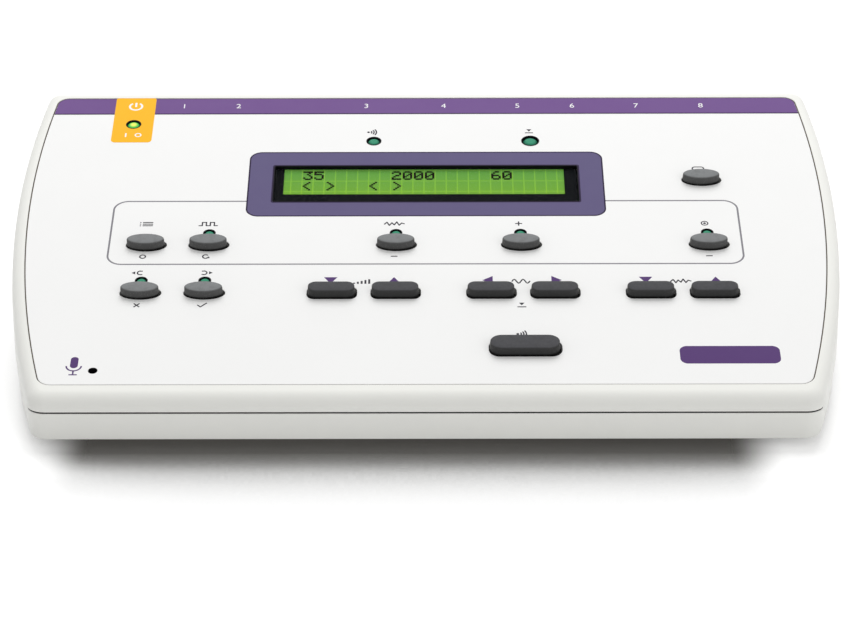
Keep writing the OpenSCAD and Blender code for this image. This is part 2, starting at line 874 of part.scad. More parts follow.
// Circuit board of the display
module lcd_board()
{
    color(board_green)
        on_face(lcd_u, lcd_board_v, lcd_board_depth + board_t)
        difference()
        {
            block(lcd_board_w, lcd_board_l, board_t);
            for (sx = [-1, 1], sy = [-1, 1])
                translate([sx * lcd_screw_u, sy * lcd_screw_v, -past])
                cylinder(r = lcd_screw_r + 0.15, h = board_t + 2 * past);
        }
}

// Pan-head screw with its seat at z = 0, its shank along +Z
module screw(shank_r, shank_l, head_r, head_h)
{
    cylinder(r = shank_r, h = shank_l);
    difference()
    {
        translate([0, 0, -head_h])
            cylinder(r1 = 0.8 * head_r, r2 = head_r, h = head_h);
        translate([0, 0, -head_h - past])
            block(0.3 * head_r, 1.2 * head_r, past + 0.45 * head_h);
        translate([0, 0, -head_h - past])
            block(1.2 * head_r, 0.3 * head_r, past + 0.45 * head_h);
    }
}

// Four screws that hold the display's board
module lcd_screws()
{
    color(steel)
        for (sx = [-1, 1], sy = [-1, 1])
        on_face(lcd_u + sx * lcd_screw_u, lcd_board_v + sy * lcd_screw_v, lcd_board_depth + board_t)
        screw(lcd_screw_r, lcd_screw_l, 1.9, 1.2);
}

// Circuit board under the face, which carries the switches and lamps
module key_board()
{
    color(board_green)
        difference()
        {
            on_face(0, (key_board_v0 + key_board_v1) / 2, key_board_depth + board_t)
                block(2 * key_board_half_w, key_board_v1 - key_board_v0, board_t);
            for (p = key_boss_places)
                on_face(p[0], p[1], key_board_depth + board_t + past)
                cylinder(r = board_screw_r + 0.2, h = board_t + 2 * past);
        }
}

// Six screws that hold the key board
module key_board_screws()
{
    color(steel)
        for (p = key_boss_places)
        on_face(p[0], p[1], key_board_depth + board_t)
        screw(board_screw_r, board_screw_l, board_head_r, board_head_h);
}

// Fifteen push switches, one under each key
module switch_bodies()
{
    color(socket_black)
        for (p = key_places)
        on_face(p[0], p[1], key_board_depth)
        difference()
        {
            block(switch_w, switch_w, switch_h);
            translate([0, 0, switch_h - switch_bore_l])
                cylinder(r = switch_bore_r, h = switch_bore_l + past);
        }
}

// Black stand-offs that hold the lamps above the key board
module led_spacers()
{
    color(soft_black)
        for (p = lamp_places)
        on_face(p[0], p[1], key_board_depth)
        cylinder(r = p[2] - lamp_gap, h = key_board_depth - lamp_foot_depth);
}

// A lamp: a round body with a domed end just under the face
module lamp(place)
{
    r = place[2] - lamp_gap;
    dome_h = 0.5 * r;
    dome_r = (r * r + dome_h * dome_h) / (2 * dome_h);
    on_face(place[0], place[1], lamp_foot_depth)
        intersection()
        {
            cylinder(r = r, h = lamp_l);
            translate([0, 0, lamp_l - dome_r])
                sphere(r = dome_r);
        }
    on_face(place[0], place[1], lamp_foot_depth)
        cylinder(r = r, h = lamp_l - dome_h - touch);
}

// Eight green lamps
module indicator_leds()
{
    color(lamp_green)
        for (p = indicator_places)
        lamp(p);
}

// Lamp that shows that the power is on
module power_led()
{
    color(lamp_lit)
        lamp(power_place);
}

// Talk-over microphone capsule
module microphone()
{
    color(steel)
        on_face(mic_u, mic_v, wall + boot_t + mic_l)
        cylinder(r = mic_r, h = mic_l);
}

// Rubber boot around the microphone
module microphone_boot()
{
    color(soft_black)
        on_face(mic_u, mic_v, wall + boot_l)
        difference()
        {
            cylinder(r = boot_r, h = boot_l);
            translate([0, 0, boot_t])
                cylinder(r = mic_r, h = mic_l);
            translate([0, 0, boot_t + mic_l - past])
                cylinder(r = mic_hole_r, h = boot_t + 2 * past);
        }
}

// Circuit board behind the sockets
module main_board()
{
    color(board_green)
        difference()
        {
            translate([0, (main_board_y0 + main_board_y1) / 2, main_board_z0])
                block(2 * main_board_half_w, main_board_l, board_t);
            for (p = main_screw_places)
                translate([p[0], p[1], main_board_z0 - past])
                cylinder(r = board_screw_r + 0.2, h = board_t + 2 * past);
        }
}

// Four screws that hold the main board
module main_board_screws()
{
    color(steel)
        for (p = main_screw_places)
        translate([p[0], p[1], main_board_h])
        mirror([0, 0, 1])
        screw(board_screw_r, board_screw_l, board_head_r, board_head_h);
}

// Chips on the main board
module main_board_chips()
{
    chips = [
        [-70, 6, 14, 14, 1.6],
        [-20, 8, 20, 14, 1.8],
        [30, 6, 12, 10, 1.6],
        [70, 8, 10, 12, 2],
        [0, 30, 16, 9, 2]
    ];
    color(socket_black)
        for (c = chips)
        translate([c[0], main_board_y0 + c[1] + c[3] / 2, main_board_h])
        block(c[2], c[3], c[4]);
}

// Round capacitors on the main board
module board_capacitors()
{
    cans = [[-50, 48, 4, 9], [-40, 50, 4, 9], [-44, 36, 3, 7], [18, 38, 3, 6]];
    color([0.2, 0.22, 0.3])
        for (c = cans)
        translate([c[0], main_board_y0 + c[1], main_board_h])
        cylinder(r = c[2], h = c[3]);
}

// Plug blocks of the flat cable on both boards, and of the display on the key board
module header_sockets()
{
    header_l = 6;
    color(socket_black)
    {
        translate([ribbon_x, ribbon_y0, main_board_h])
            block(ribbon_w + 3, header_l, header_h);
        on_face(ribbon_x, ribbon_v1, key_board_depth + board_t + header_h)
            block(ribbon_w + 3, header_l, header_h);
        on_face(lcd_u - 25, lcd_board_v - lcd_board_l / 2 + 4, key_board_depth)
            block(42, 5, key_board_depth - lcd_board_depth - board_t);
    }
}

// Flat cable between the two boards
module board_link_cable()
{
    end_depth = key_board_depth + board_t + header_h;
    steps = 16;
    start = [ribbon_y0, main_board_h + header_h];
    end = [
        front_y + ribbon_v1 * cos(face_slope) + end_depth * sin(face_slope),
        front_edge_h + ribbon_v1 * sin(face_slope) - end_depth * cos(face_slope)
    ];
    reach = 0.45 * (end[1] - start[1]);
    bend = [start, start + [0, reach], end + reach * [sin(face_slope), -cos(face_slope)], end];
    mid = [for (i = [0:steps]) curve_point(bend, i / steps)];
    ahead = concat(
        [[0, 1]],
        [for (i = [1:steps - 1]) mid[i + 1] - mid[i - 1]],
        [[-sin(face_slope), cos(face_slope)]]
    );
    side = [for (d = ahead) ribbon_t / 2 * [-d[1], d[0]] / norm(d)];
    outline = concat(
        [for (i = [0:steps]) mid[i] + side[i]],
        [for (i = [steps:-1:0]) mid[i] - side[i]]
    );
    color([0.55, 0.56, 0.58])
        translate([ribbon_x - ribbon_w / 2, 0, 0])
        rotate([90, 0, 90])
        linear_extrude(height = ribbon_w)
        polygon(outline);
}

// Housing of the power switch, clipped into the rear wall
module power_switch_body()
{
    room_w = rocker_w + 2 * rocker_play;
    back_l = rocker_y - rear_y + switch_body_l + rocker_back_y - 1.5;
    color(socket_black)
        translate([rocker_x, 0, rocker_h])
        difference()
        {
            union()
            {
                translate([-switch_body_w / 2, rear_y - switch_body_l, -switch_body_h / 2])
                    cube([switch_body_w, switch_body_l, switch_body_h]);
                translate([-switch_body_w / 2 - switch_rim, rear_y, -switch_body_h / 2 - switch_rim])
                    cube([switch_body_w + 2 * switch_rim, switch_rim_t, switch_body_h + 2 * switch_rim]);
                for (s = [-1, 1])
                    translate([-tab_w / 2, rear_y - switch_body_l - tab_l, s * tab_z - tab_t / 2])
                    cube([tab_w, tab_l + fuse, tab_t]);
            }
            translate([-room_w / 2, rear_y - switch_body_l + back_l, -rocker_room_half])
                cube([room_w, switch_body_l, 2 * rocker_room_half]);
            translate([-switch_body_w / 2 - past, rocker_y, 0])
                rotate([0, 90, 0])
                cylinder(r = rocker_pin_r + touch, h = switch_body_w + 2 * past);
        }
}

// Rocker of the power switch, leaning to its on side
module power_rocker()
{
    side = [
        [rocker_face_y, rocker_half],
        [rocker_valley_y, 0],
        [rocker_face_y, -rocker_half],
        [1.6, -rocker_half - 0.1],
        [rocker_back_y, -rocker_back_half],
        [rocker_back_y, rocker_back_half],
        [1.6, rocker_half + 0.1]
    ];
    color(soft_black)
        translate([rocker_x, rocker_y, rocker_h])
        rotate([-rocker_lean, 0, 0])
        {
            translate([-rocker_w / 2, 0, 0])
                rotate([90, 0, 90])
                linear_extrude(height = rocker_w)
                polygon(side);
            translate([-rocker_pin_l, 0, 0])
                rotate([0, 90, 0])
                cylinder(r = rocker_pin_r, h = 2 * rocker_pin_l);
        }
}

// Two short leads from the power switch down to the main board
module switch_leads()
{
    sleeve_l = 8;
    sleeve_h = 3;
    lead_r = 0.9;
    lead_x = 1.6;
    lead_out = 1.2;
    y = rear_y - switch_body_l - tab_l;
    color([0.75, 0.12, 0.1])
        for (s = [-1, 1])
        translate([rocker_x, y, rocker_h + s * tab_z])
        {
            difference()
            {
                translate([0, -1, -sleeve_h / 2])
                    block(tab_w + 1.4, sleeve_l, sleeve_h);
                translate([-tab_w / 2 - touch, 0, -tab_t / 2 - touch])
                    cube([tab_w + 2 * touch, sleeve_l, tab_t + 2 * touch]);
            }
            translate([s * lead_x, -sleeve_l / 2 - 1 - lead_out, -rocker_h - s * tab_z + main_board_h])
                cylinder(r = lead_r, h = rocker_h + s * tab_z - main_board_h);
            translate([s * lead_x, -sleeve_l / 2 - 1 - lead_out, 0])
                sphere(r = lead_r);
            translate([s * lead_x, -sleeve_l / 2 - 1 - lead_out, 0])
                rod_y(lead_r, lead_out + fuse);
        }
}

// Socket of the low-voltage supply, with its centre pin
module power_socket()
{
    color(socket_black)
        translate([power_x, rear_y + socket_proud, main_board_h])
        {
            difference()
            {
                translate([-power_w / 2, -power_l, 0])
                    cube([power_w, power_l, power_h]);
                translate([0, -power_mouth_l, power_h / 2])
                    rod_y(power_mouth_r, power_mouth_l + past);
            }
            translate([0, -power_mouth_l - fuse, power_h / 2])
                rod_y(power_pin_r, power_mouth_l + fuse - 1);
        }
}

// Metal shell of the data socket
module usb_socket()
{
    color(steel)
        translate([usb_x - usb_w / 2, rear_y + socket_proud - usb_l, main_board_h])
        difference()
        {
            cube([usb_w, usb_l, usb_h]);
            translate([usb_sheet, usb_sheet, usb_sheet])
                cube([usb_w - 2 * usb_sheet, usb_l, usb_h - 2 * usb_sheet]);
        }
}

// Plastic inside of the data socket, with its tongue
module usb_insert()
{
    w = usb_w - 2 * usb_sheet - 2 * touch;
    h = usb_h - 2 * usb_sheet - 2 * touch;
    l = usb_l - usb_sheet - touch;
    bevel = 1.6;
    half_w = usb_mouth_w / 2;
    half_h = usb_mouth_h / 2;
    color([0.9, 0.9, 0.88])
        translate([usb_x, rear_y + socket_proud, main_board_h + usb_h / 2])
        {
            difference()
            {
                translate([-w / 2, -l, -h / 2])
                    cube([w, l, h]);
                translate([0, past, 0])
                    rotate([90, 0, 0])
                    linear_extrude(height = usb_mouth_l + past)
                    polygon([
                        [-half_w, -half_h],
                        [half_w, -half_h],
                        [half_w, half_h - bevel],
                        [half_w - bevel, half_h],
                        [bevel - half_w, half_h],
                        [-half_w, half_h - bevel]
                    ]);
            }
            translate([-usb_tongue_w / 2, -usb_mouth_l - fuse, -usb_tongue_h / 2])
                cube([usb_tongue_w, usb_mouth_l + fuse - 1, usb_tongue_h]);
        }
}

// Round six-way socket for a printer
module printer_socket()
{
    pin_r = 0.45;
    pin_circle_r = 2.4;
    color(socket_black)
        translate([printer_x, rear_y + socket_proud, main_board_h])
        {
            difference()
            {
                translate([-printer_w / 2, -printer_l, 0])
                    cube([printer_w, printer_l, printer_h]);
                translate([0, -printer_ring_l, printer_h / 2])
                    rod_y(printer_ring_r, printer_ring_l + past);
            }
            difference()
            {
                translate([0, -printer_ring_l - fuse, printer_h / 2])
                    rod_y(printer_core_r, printer_ring_l + fuse - 0.6);
                for (a = [30:60:330])
                    translate([0, -printer_ring_l + 1, printer_h / 2])
                    rotate([-90, 0, 0])
                    translate([pin_circle_r * cos(a), pin_circle_r * sin(a), 0])
                    cylinder(r = pin_r, h = printer_ring_l, $fn = 8);
            }
        }
}

// Five jack sockets on the main board, with their bushes through the rear wall
module jack_bodies()
{
    color(socket_black)
        for (x = jack_places)
        translate([x, 0, jack_z])
        difference()
        {
            union()
            {
                translate([-jack_w / 2, rear_inner_y - jack_rear_l, -jack_w / 2])
                    cube([jack_w, jack_rear_l, jack_w]);
                translate([0, rear_inner_y - fuse, 0])
                    rod_y(bush_r, wall + bush_reach + fuse);
            }
            translate([0, bush_end_y - jack_l, 0])
                rod_y(jack_r, jack_l + past);
        }
}

// Nut of one jack socket, tight against the rear wall
module jack_nut(x, tint)
{
    chamfer = 0.6;
    bore_r = bush_r + touch;
    color(tint)
        translate([x, rear_y, jack_z])
        rotate([-90, 0, 0])
        rotate_extrude()
        polygon([
            [bore_r, 0],
            [nut_r, 0],
            [nut_r, nut_t - chamfer],
            [nut_r - chamfer, nut_t],
            [bore_r, nut_t]
        ]);
}

// Black nut of the patient button's socket
module response_nut() { jack_nut(response_x, soft_black); }

// Yellow nut of the insert earphone's socket
module insert_nut() { jack_nut(insert_x, [0.9, 0.72, 0.15]); }

// Grey nut of the bone conductor's socket
module bone_nut() { jack_nut(bone_x, [0.55, 0.56, 0.58]); }

// Blue nut of the left earphone's socket
module left_nut() { jack_nut(left_x, [0.12, 0.3, 0.68]); }

// Red nut of the right earphone's socket
module right_nut() { jack_nut(right_x, [0.75, 0.12, 0.12]); }

// Four screws that hold the two shells together, from below
module case_screws()
{
    color(steel)
        for (p = case_screw_places)
        translate([p[0], p[1], case_seat_z])
        screw(case_shank_r, case_screw_l, case_head_r, case_head_h);
}

// Four rubber feet
module feet()
{
    chamfer = 0.6;
    color(soft_black)
        for (p = foot_places)
        translate([p[0], p[1], 0])
        {
            cylinder(r1 = foot_r - chamfer, r2 = foot_r, h = chamfer);
            translate([0, 0, chamfer])
                cylinder(r = foot_r, h = foot_h + foot_recess - chamfer);
        }
}

// A key: cap, flange under the face and stem down into its switch
module face_key(place, w, l, corner_r)
{
    side_h = key_rise - key_edge_r;
    cap_rings = concat(
        [at_height(key_ring(w, l, corner_r, 0), -flange_depth - fuse)],
        [at_height(key_ring(w, l, corner_r, 0), 0)],
        [
            for (k = [0:3])
            let (a = 30 * k)
            at_height(
                key_ring(w, l, corner_r, key_draft + key_edge_r * (1 - cos(a))),
                side_h + key_edge_r * sin(a)
            )
        ]
    );
    on_face(place[0], place[1], 0)
    {
        lofted(cap_rings);
        translate([0, 0, -flange_depth - key_flange_t])
            plate(key_ring(w, l, corner_r, -key_gap - key_flange), key_flange_t);
        translate([0, 0, -stem_depth])
            cylinder(r = stem_r, h = stem_depth - flange_depth - key_flange_t / 2);
    }
}

// Oval key of the face
module oval_key(u, v)
{
    color(key_grey)
        face_key([u, v], oval_w, oval_l, 0);
}

// Long key with an arrow printed behind it
module arrow_key(u)
{
    color(key_black)
        face_key([u, arrow_row], arrow_w, arrow_l, arrow_corner_r);
}

module menu_key() { oval_key(menu_u, function_row); }
module pulse_key() { oval_key(pulse_u, function_row); }
module mask_key() { oval_key(mask_u, function_row); }
module boost_key() { oval_key(boost_u, function_row); }
module bone_key() { oval_key(bone_u, function_row); }
module left_key() { oval_key(menu_u, arrow_row); }
module right_key() { oval_key(pulse_u, arrow_row); }
module talk_over_key() { oval_key(bone_u, talk_row); }
module level_down_key() { arrow_key(level_down_u); }
module level_up_key() { arrow_key(mask_u); }
module frequency_down_key() { arrow_key(frequency_down_u); }
module frequency_up_key() { arrow_key(frequency_up_u); }
module masking_down_key() { arrow_key(masking_down_u); }
module masking_up_key() { arrow_key(bone_u); }

// Large key that presents the tone
module present_key()
{
    color(key_black)
        face_key(tone_key, tone_w, tone_l, tone_corner_r);
}

top_shell();
base_shell();
face_overlay();
display_window();
lcd_bezel();
lcd_glass();
lcd_backlight();
lcd_board();
lcd_screws();
key_board();
key_board_screws();
switch_bodies();
led_spacers();
indicator_leds();
power_led();
microphone();
microphone_boot();
main_board();
main_board_screws();
main_board_chips();
board_capacitors();
header_sockets();
board_link_cable();
power_switch_body();
power_rocker();
switch_leads();
power_socket();
usb_socket();
usb_insert();
printer_socket();
jack_bodies();
response_nut();
insert_nut();
bone_nut();
left_nut();
right_nut();
case_screws();
feet();
menu_key();
pulse_key();
mask_key();
boost_key();
bone_key();
left_key();
right_key();
talk_over_key();
level_down_key();
level_up_key();
frequency_down_key();
frequency_up_key();
masking_down_key();
masking_up_key();
present_key();
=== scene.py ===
# %% [markdown]
# # A desk audiometer
# This lesson dresses a hearing tester: a white wedge of moulded plastic with a printed sheet
# on its sloping face, a two-line display, fifteen rubber keys, nine lamps and a row of
# sockets on its back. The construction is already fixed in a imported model, so the first step
# loads that model, and every new piece is placed from its measurements.

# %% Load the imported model
import math

import bmesh
import bpy
from mathutils import Matrix, Vector


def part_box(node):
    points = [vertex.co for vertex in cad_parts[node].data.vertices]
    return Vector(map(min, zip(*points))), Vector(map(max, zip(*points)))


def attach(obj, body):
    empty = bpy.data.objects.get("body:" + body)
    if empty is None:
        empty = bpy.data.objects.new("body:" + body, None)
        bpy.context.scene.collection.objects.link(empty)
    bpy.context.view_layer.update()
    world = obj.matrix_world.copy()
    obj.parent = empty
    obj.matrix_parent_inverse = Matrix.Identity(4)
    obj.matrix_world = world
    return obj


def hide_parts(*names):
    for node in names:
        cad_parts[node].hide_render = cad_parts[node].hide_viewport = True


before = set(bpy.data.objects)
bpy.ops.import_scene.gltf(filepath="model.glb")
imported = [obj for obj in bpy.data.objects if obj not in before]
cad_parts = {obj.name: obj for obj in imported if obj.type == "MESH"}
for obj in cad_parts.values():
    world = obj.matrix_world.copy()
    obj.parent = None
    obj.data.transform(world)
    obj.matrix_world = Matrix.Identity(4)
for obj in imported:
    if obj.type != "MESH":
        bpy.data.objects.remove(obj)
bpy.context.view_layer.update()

# %% [markdown]
# ## The frame of the sloping face
# Nearly everything on this object sits square on a face that slopes up by 15.4 degrees. It is
# much easier to draw such pieces flat, with x across the face, y up the slope and z out of
# it, and to turn them into place at the very end. One matrix does that for all of them.

# %% Measurements shared by many pieces
MM = 0.001
top_low, top_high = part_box("top_shell")
FRONT_Y, REAR_Y = top_low.y, top_high.y
HALF_W = top_high.x
SLOPE = math.radians(15.4)
FRONT_H = 16.45 * MM
FACE_L = (REAR_Y - FRONT_Y) / math.cos(SLOPE)
FACE = Matrix.Translation((0, FRONT_Y, FRONT_H)) @ Matrix.Rotation(SLOPE, 4, "X")
SHEET_TOP = -0.1 * MM
CASE = "case"
print("face length in mm:", round(FACE_L / MM, 2))

# %% [markdown]
# ## Colour
# Blender's sockets take linear light, but a colour is easiest to judge as the 0 to 255
# numbers of a screen. One small function turns the second kind into the first.

# %% Screen colours to linear light
def paint(red, green, blue):
    """Linear colour, with full alpha, of three screen values from 0 to 255."""
    def linear(value):
        """Linear light of one screen value."""
        share = value / 255
        return share / 12.92 if share <= 0.04045 else ((share + 0.055) / 1.055) ** 2.4
    return (linear(red), linear(green), linear(blue), 1.0)

# %% [markdown]
# ## Effects that several finishes share
# Moulded plastic is never one flat colour: it has a fine spark-eroded grain, and hands leave
# it a little duller in patches. Rubber has pale specks, and some effects need the place on
# the sloping face in its own millimetres.
# Each effect is a node group with named sockets, built once, so that every finish can use
# it at its own scale. The groups only give out values, and the shader stays in the material.

# %% Helpers that add nodes and start a node group
def new_group(name, inputs, outputs):
    """Empty shader node group with float or vector inputs, and float or vector outputs."""
    group = bpy.data.node_groups.new(name, "ShaderNodeTree")
    for label, kind, value in inputs:
        socket = group.interface.new_socket(label, in_out="INPUT", socket_type=kind)
        if value is not None:
            socket.default_value = value
    for label, kind in outputs:
        group.interface.new_socket(label, in_out="OUTPUT", socket_type=kind)
    return group, group.nodes.new("NodeGroupInput"), group.nodes.new("NodeGroupOutput")


def add_node(tree, kind, inputs, **settings):
    """New node with its settings; each input is a plain value or a socket to link from."""
    node = tree.nodes.new("ShaderNode" + kind)
    for label, value in settings.items():
        setattr(node, label, value)
    for label, value in inputs.items():
        if isinstance(value, bpy.types.NodeSocket):
            tree.links.new(value, node.inputs[label])
        else:
            node.inputs[label].default_value = value
    return node


def sums(tree, operation, first, second):
    """Result of a Math node on two sockets or plain numbers."""
    return add_node(tree, "Math", {0: first, 1: second}, operation=operation).outputs[0]


def noise(tree, vector, scale, detail=2.0):
    """Value of a Noise texture, its scale a socket or a number."""
    inputs = {"Vector": vector, "Scale": scale, "Detail": detail}
    return add_node(tree, "TexNoise", inputs).outputs["Fac"]


def blend_colours(tree, share, first, second):
    """Mix of two colours, each a tuple or a socket."""
    inputs = {0: share, 6: first, 7: second}
    return add_node(tree, "Mix", inputs, data_type="RGBA").outputs[2]


def ramp(tree, value, stops):
    """Colour Ramp over a value, from a list of places and colours."""
    node = add_node(tree, "ValToRGB", {"Fac": value})
    elements = node.color_ramp.elements
    for stop in stops[1:-1]:
        elements.new(stop[0])
    elements[0].position, elements[-1].position = stops[0][0], stops[-1][0]
    for element, (place, colour) in zip(elements, stops):
        element.color = colour
    return node.outputs["Color"]

# %% Moulded grain, handling marks, specks and the place on the face
FLOAT, VECTOR = "NodeSocketFloat", "NodeSocketVector"


def make_grain():
    """Fine even grain of a moulding, with its cell size in millimetres."""
    group, entry, leave = new_group(
        "Moulded grain", [("Position", VECTOR, None), ("Cell size", FLOAT, 0.3)],
        [("Height", FLOAT)])
    scale = sums(group, "DIVIDE", 1 / MM, entry.outputs["Cell size"])
    height = noise(group, entry.outputs["Position"], scale, 3.0)
    group.links.new(height, leave.inputs["Height"])
    return group


def make_marks():
    """Slow drift over a hand's width, and smaller rubbed patches inside it."""
    group, entry, leave = new_group(
        "Handling marks",
        [("Position", VECTOR, None), ("Patch size", FLOAT, 40.0)],
        [("Drift", FLOAT), ("Rubbed", FLOAT)])
    position = entry.outputs["Position"]
    scale = sums(group, "DIVIDE", 1 / MM, entry.outputs["Patch size"])
    patches = noise(group, position, sums(group, "MULTIPLY", scale, 6.0), 4.0)
    rubbed = sums(group, "MULTIPLY", sums(group, "SUBTRACT", patches, 0.48), 3.5)
    group.links.new(noise(group, position, scale), leave.inputs["Drift"])
    group.links.new(rubbed, leave.inputs["Rubbed"])
    return group


def make_specks():
    """Small pale specks scattered over a surface, as in filled rubber."""
    group, entry, leave = new_group(
        "Specks", [("Position", VECTOR, None), ("Spacing", FLOAT, 0.4)], [("Mask", FLOAT)])
    cells = add_node(group, "TexVoronoi", {
        "Vector": entry.outputs["Position"],
        "Scale": sums(group, "DIVIDE", 1 / MM, entry.outputs["Spacing"])})
    near = sums(group, "SUBTRACT", 0.3, cells.outputs["Distance"])
    mask = sums(group, "MULTIPLY", sums(group, "MAXIMUM", near, 0.0), 3.0)
    group.links.new(mask, leave.inputs["Mask"])
    return group


def make_face_place():
    """Position on the sloping face in millimetres: across, up the slope and out of it."""
    group, entry, leave = new_group(
        "Face place", [("Position", VECTOR, None)], [("Place", VECTOR)])
    turn = add_node(group, "Mapping", {
        "Vector": entry.outputs["Position"], "Location": (0, FRONT_Y, FRONT_H),
        "Rotation": (SLOPE, 0, 0), "Scale": (MM, MM, MM)}, vector_type="TEXTURE")
    group.links.new(turn.outputs["Vector"], leave.inputs["Place"])
    return group


GRAIN, MARKS, SPECKS, FACE_PLACE = make_grain(), make_marks(), make_specks(), make_face_place()
print("shared effects:", [group.name for group in (GRAIN, MARKS, SPECKS, FACE_PLACE)])

# %% [markdown]
# ## One recipe for most finishes
# A finish is a Principled shader, whose colour drifts between two near tones, whose
# roughness rises where it was rubbed, and whose grain goes through a Bump node. Number
# sockets that are the same all over the surface are set on the shader itself.

# %% The finish recipe
def use(tree, group, position, **values):
    """Outputs of a shared group that gets the position and its named values."""
    inputs = {label.replace("_", " "): value for label, value in values.items()}
    inputs["Position"] = position
    return add_node(tree, "Group", inputs, node_tree=group).outputs


def finish(name, colour, other, roughness, cell=0.3, grain=0.12, patch=40.0, rub=0.08, **sockets):
    """Material with drifting colour, rubbed roughness and moulded grain."""
    material = bpy.data.materials.new(name)
    material.use_nodes = True
    tree = material.node_tree
    shader = tree.nodes["Principled BSDF"]
    position = tree.nodes.new("ShaderNodeTexCoord").outputs["Object"]
    marks = use(tree, MARKS, position, Patch_size=patch)
    height = use(tree, GRAIN, position, Cell_size=cell)["Height"]
    bump = add_node(tree, "Bump", {"Strength": grain, "Distance": cell * MM, "Height": height})
    made = {
        "Base Color": blend_colours(tree, marks["Drift"], paint(*colour), paint(*other)),
        "Roughness": sums(tree, "ADD", sums(tree, "MULTIPLY", marks["Rubbed"], rub), roughness),
        "Normal": bump.outputs["Normal"],
    }
    for label, socket in made.items():
        tree.links.new(socket, shader.inputs[label])
    for label, value in sockets.items():
        shader.inputs[label.replace("_", " ")].default_value = value
    return material


def parts_of(material):
    """Node tree, shader and Object coordinates of a material made by finish."""
    tree = material.node_tree
    position = tree.nodes["Texture Coordinate"].outputs["Object"]
    return tree, tree.nodes["Principled BSDF"], position

# %% [markdown]
# ## Plastics, prints and rubber
# The case is off-white plastic with a fine grain. The sheet on it is smoother, with a satin
# shine. The inks lie on the sheet, and the keys are matt rubber.

# %% Case, sheet and inks
case_white = finish("case plastic", (242, 242, 237), (239, 239, 234), 0.42, cell=0.25, grain=0.1)
sheet_white = finish("printed sheet", (245, 245, 244), (242, 242, 241), 0.38, cell=0.12,
                     grain=0.05)
INKS = {
    name: finish(name + " ink", colour, other, 0.5, cell=0.15, grain=0.05, Specular_IOR_Level=0.12)
    for name, colour, other in (
        ("purple", (96, 89, 124), (101, 93, 129)), ("band", (113, 84, 139), (119, 90, 145)),
        ("sign", (86, 62, 112), (92, 66, 118)), ("edge", (44, 34, 60), (50, 40, 66)),
        ("yellow", (252, 190, 52), (250, 186, 46)), ("grey", (62, 60, 66), (72, 70, 76)),
        ("line", (138, 136, 142), (130, 128, 134)), ("white", (250, 250, 250), (246, 246, 246)),
        ("black", (12, 12, 16), (16, 16, 20)))
}
# The glue is real adhesive, but its dark brown is painted shade: seen in the gap round the sheet,
# it stands for that gap's shade.
glue_and_gap_shade_brown = finish("glue", (70, 62, 54), (84, 74, 64), 0.6, cell=0.3, grain=0.2)
print("inks:", sorted(INKS))

# %% Rubber of the keys, with specks, smears and painted light and shade
HOLE_SHADE_BELOW, HOLE_SHADE_FADE, SMEAR_PATCH = 0.55, 2.2, 14.0


def squareness(tree, power):
    """How squarely a surface looks out of the sloping face: 1 on its top and 0 on its sides."""
    normal = tree.nodes.new("ShaderNodeNewGeometry").outputs["Normal"]
    straight_out = FACE.to_3x3() @ Vector((0, 0, 1))
    facing = add_node(tree, "VectorMath", {0: normal, 1: straight_out}, operation="DOT_PRODUCT")
    return sums(tree, "POWER", sums(tree, "MAXIMUM", facing.outputs["Value"], 0.0), power)


def key_rubber(name, top, side):
    """Matt rubber with a painted highlight on top and painted shade on its sides, smeared on top,
    and with painted shade, nearly black, where it enters its hole.
    """
    material = finish(name, side, side, 0.55, cell=0.22, grain=0.3, patch=6.0, rub=0.12,
                      Specular_IOR_Level=0.25)
    tree, shader, position = parts_of(material)
    # Painted light and shade: the top is lighter and the sides darker, by how squarely the surface
    # faces out of the slope.
    body = blend_colours(tree, squareness(tree, 3.0), paint(*side), paint(*top))
    place = use(tree, FACE_PLACE, position)["Place"]
    height = add_node(tree, "SeparateXYZ", {"Vector": place}).outputs["Z"]
    # Painted shade: the rubber turns nearly black below a height just over the face, where it
    # enters its hole.
    depth = sums(tree, "MULTIPLY", sums(tree, "SUBTRACT", HOLE_SHADE_BELOW, height), HOLE_SHADE_FADE)
    hole_shade = sums(tree, "MINIMUM", sums(tree, "MAXIMUM", depth, 0.0), 1.0)
    body = blend_colours(tree, hole_shade, body, paint(9, 9, 9))
    handled = use(tree, MARKS, position, Patch_size=SMEAR_PATCH)["Rubbed"]
    smear = sums(tree, "MULTIPLY", sums(tree, "MAXIMUM", handled, 0.0), 0.3)
    body = blend_colours(tree, smear, body, paint(*side))
    pale = tuple(min(1.0, part * 1.7) for part in paint(*top)[:3]) + (1.0,)
    share = sums(tree, "MULTIPLY", use(tree, SPECKS, position, Spacing=0.5)["Mask"], 0.35)
    tree.links.new(blend_colours(tree, share, body, pale), shader.inputs["Base Color"])
    return material


# Each key's top colour is a painted highlight and its side colour painted shade of the same
# rubber.
key_grey = key_rubber("oval key rubber", (128, 130, 131), (78, 78, 78))
key_black = key_rubber("long key rubber", (71, 71, 74), (50, 50, 50))

# %% [markdown]
# ## Helpers that build a mesh
# Pieces grow from one flat outline: an ellipse, or a circle whose four quarters are pulled
# apart into a rectangle with round corners. The outline is then extruded in steps, and each
# step may widen or narrow it. This keeps every ring of a piece on the same few vertices.

# %% Outline and steps
def outline(bm, width, length, corner=None, segments=48):
    """Adds one flat face: an ellipse, or a rectangle with round corners. Lengths in mm."""
    verts = bmesh.ops.create_circle(bm, cap_ends=True, radius=1.0, segments=segments)["verts"]
    bmesh.ops.rotate(
        bm, verts=verts, cent=(0, 0, 0), matrix=Matrix.Rotation(math.pi / segments, 3, "Z"))
    if corner is None:
        bmesh.ops.scale(bm, verts=verts, vec=(width / 2 * MM, length / 2 * MM, 1))
        return verts[0].link_faces[0]
    bmesh.ops.scale(bm, verts=verts, vec=(corner * MM, corner * MM, 1))
    for vert in verts:
        vert.co.x += math.copysign((width / 2 - corner) * MM, vert.co.x)
        vert.co.y += math.copysign((length / 2 - corner) * MM, vert.co.y)
    return verts[0].link_faces[0]


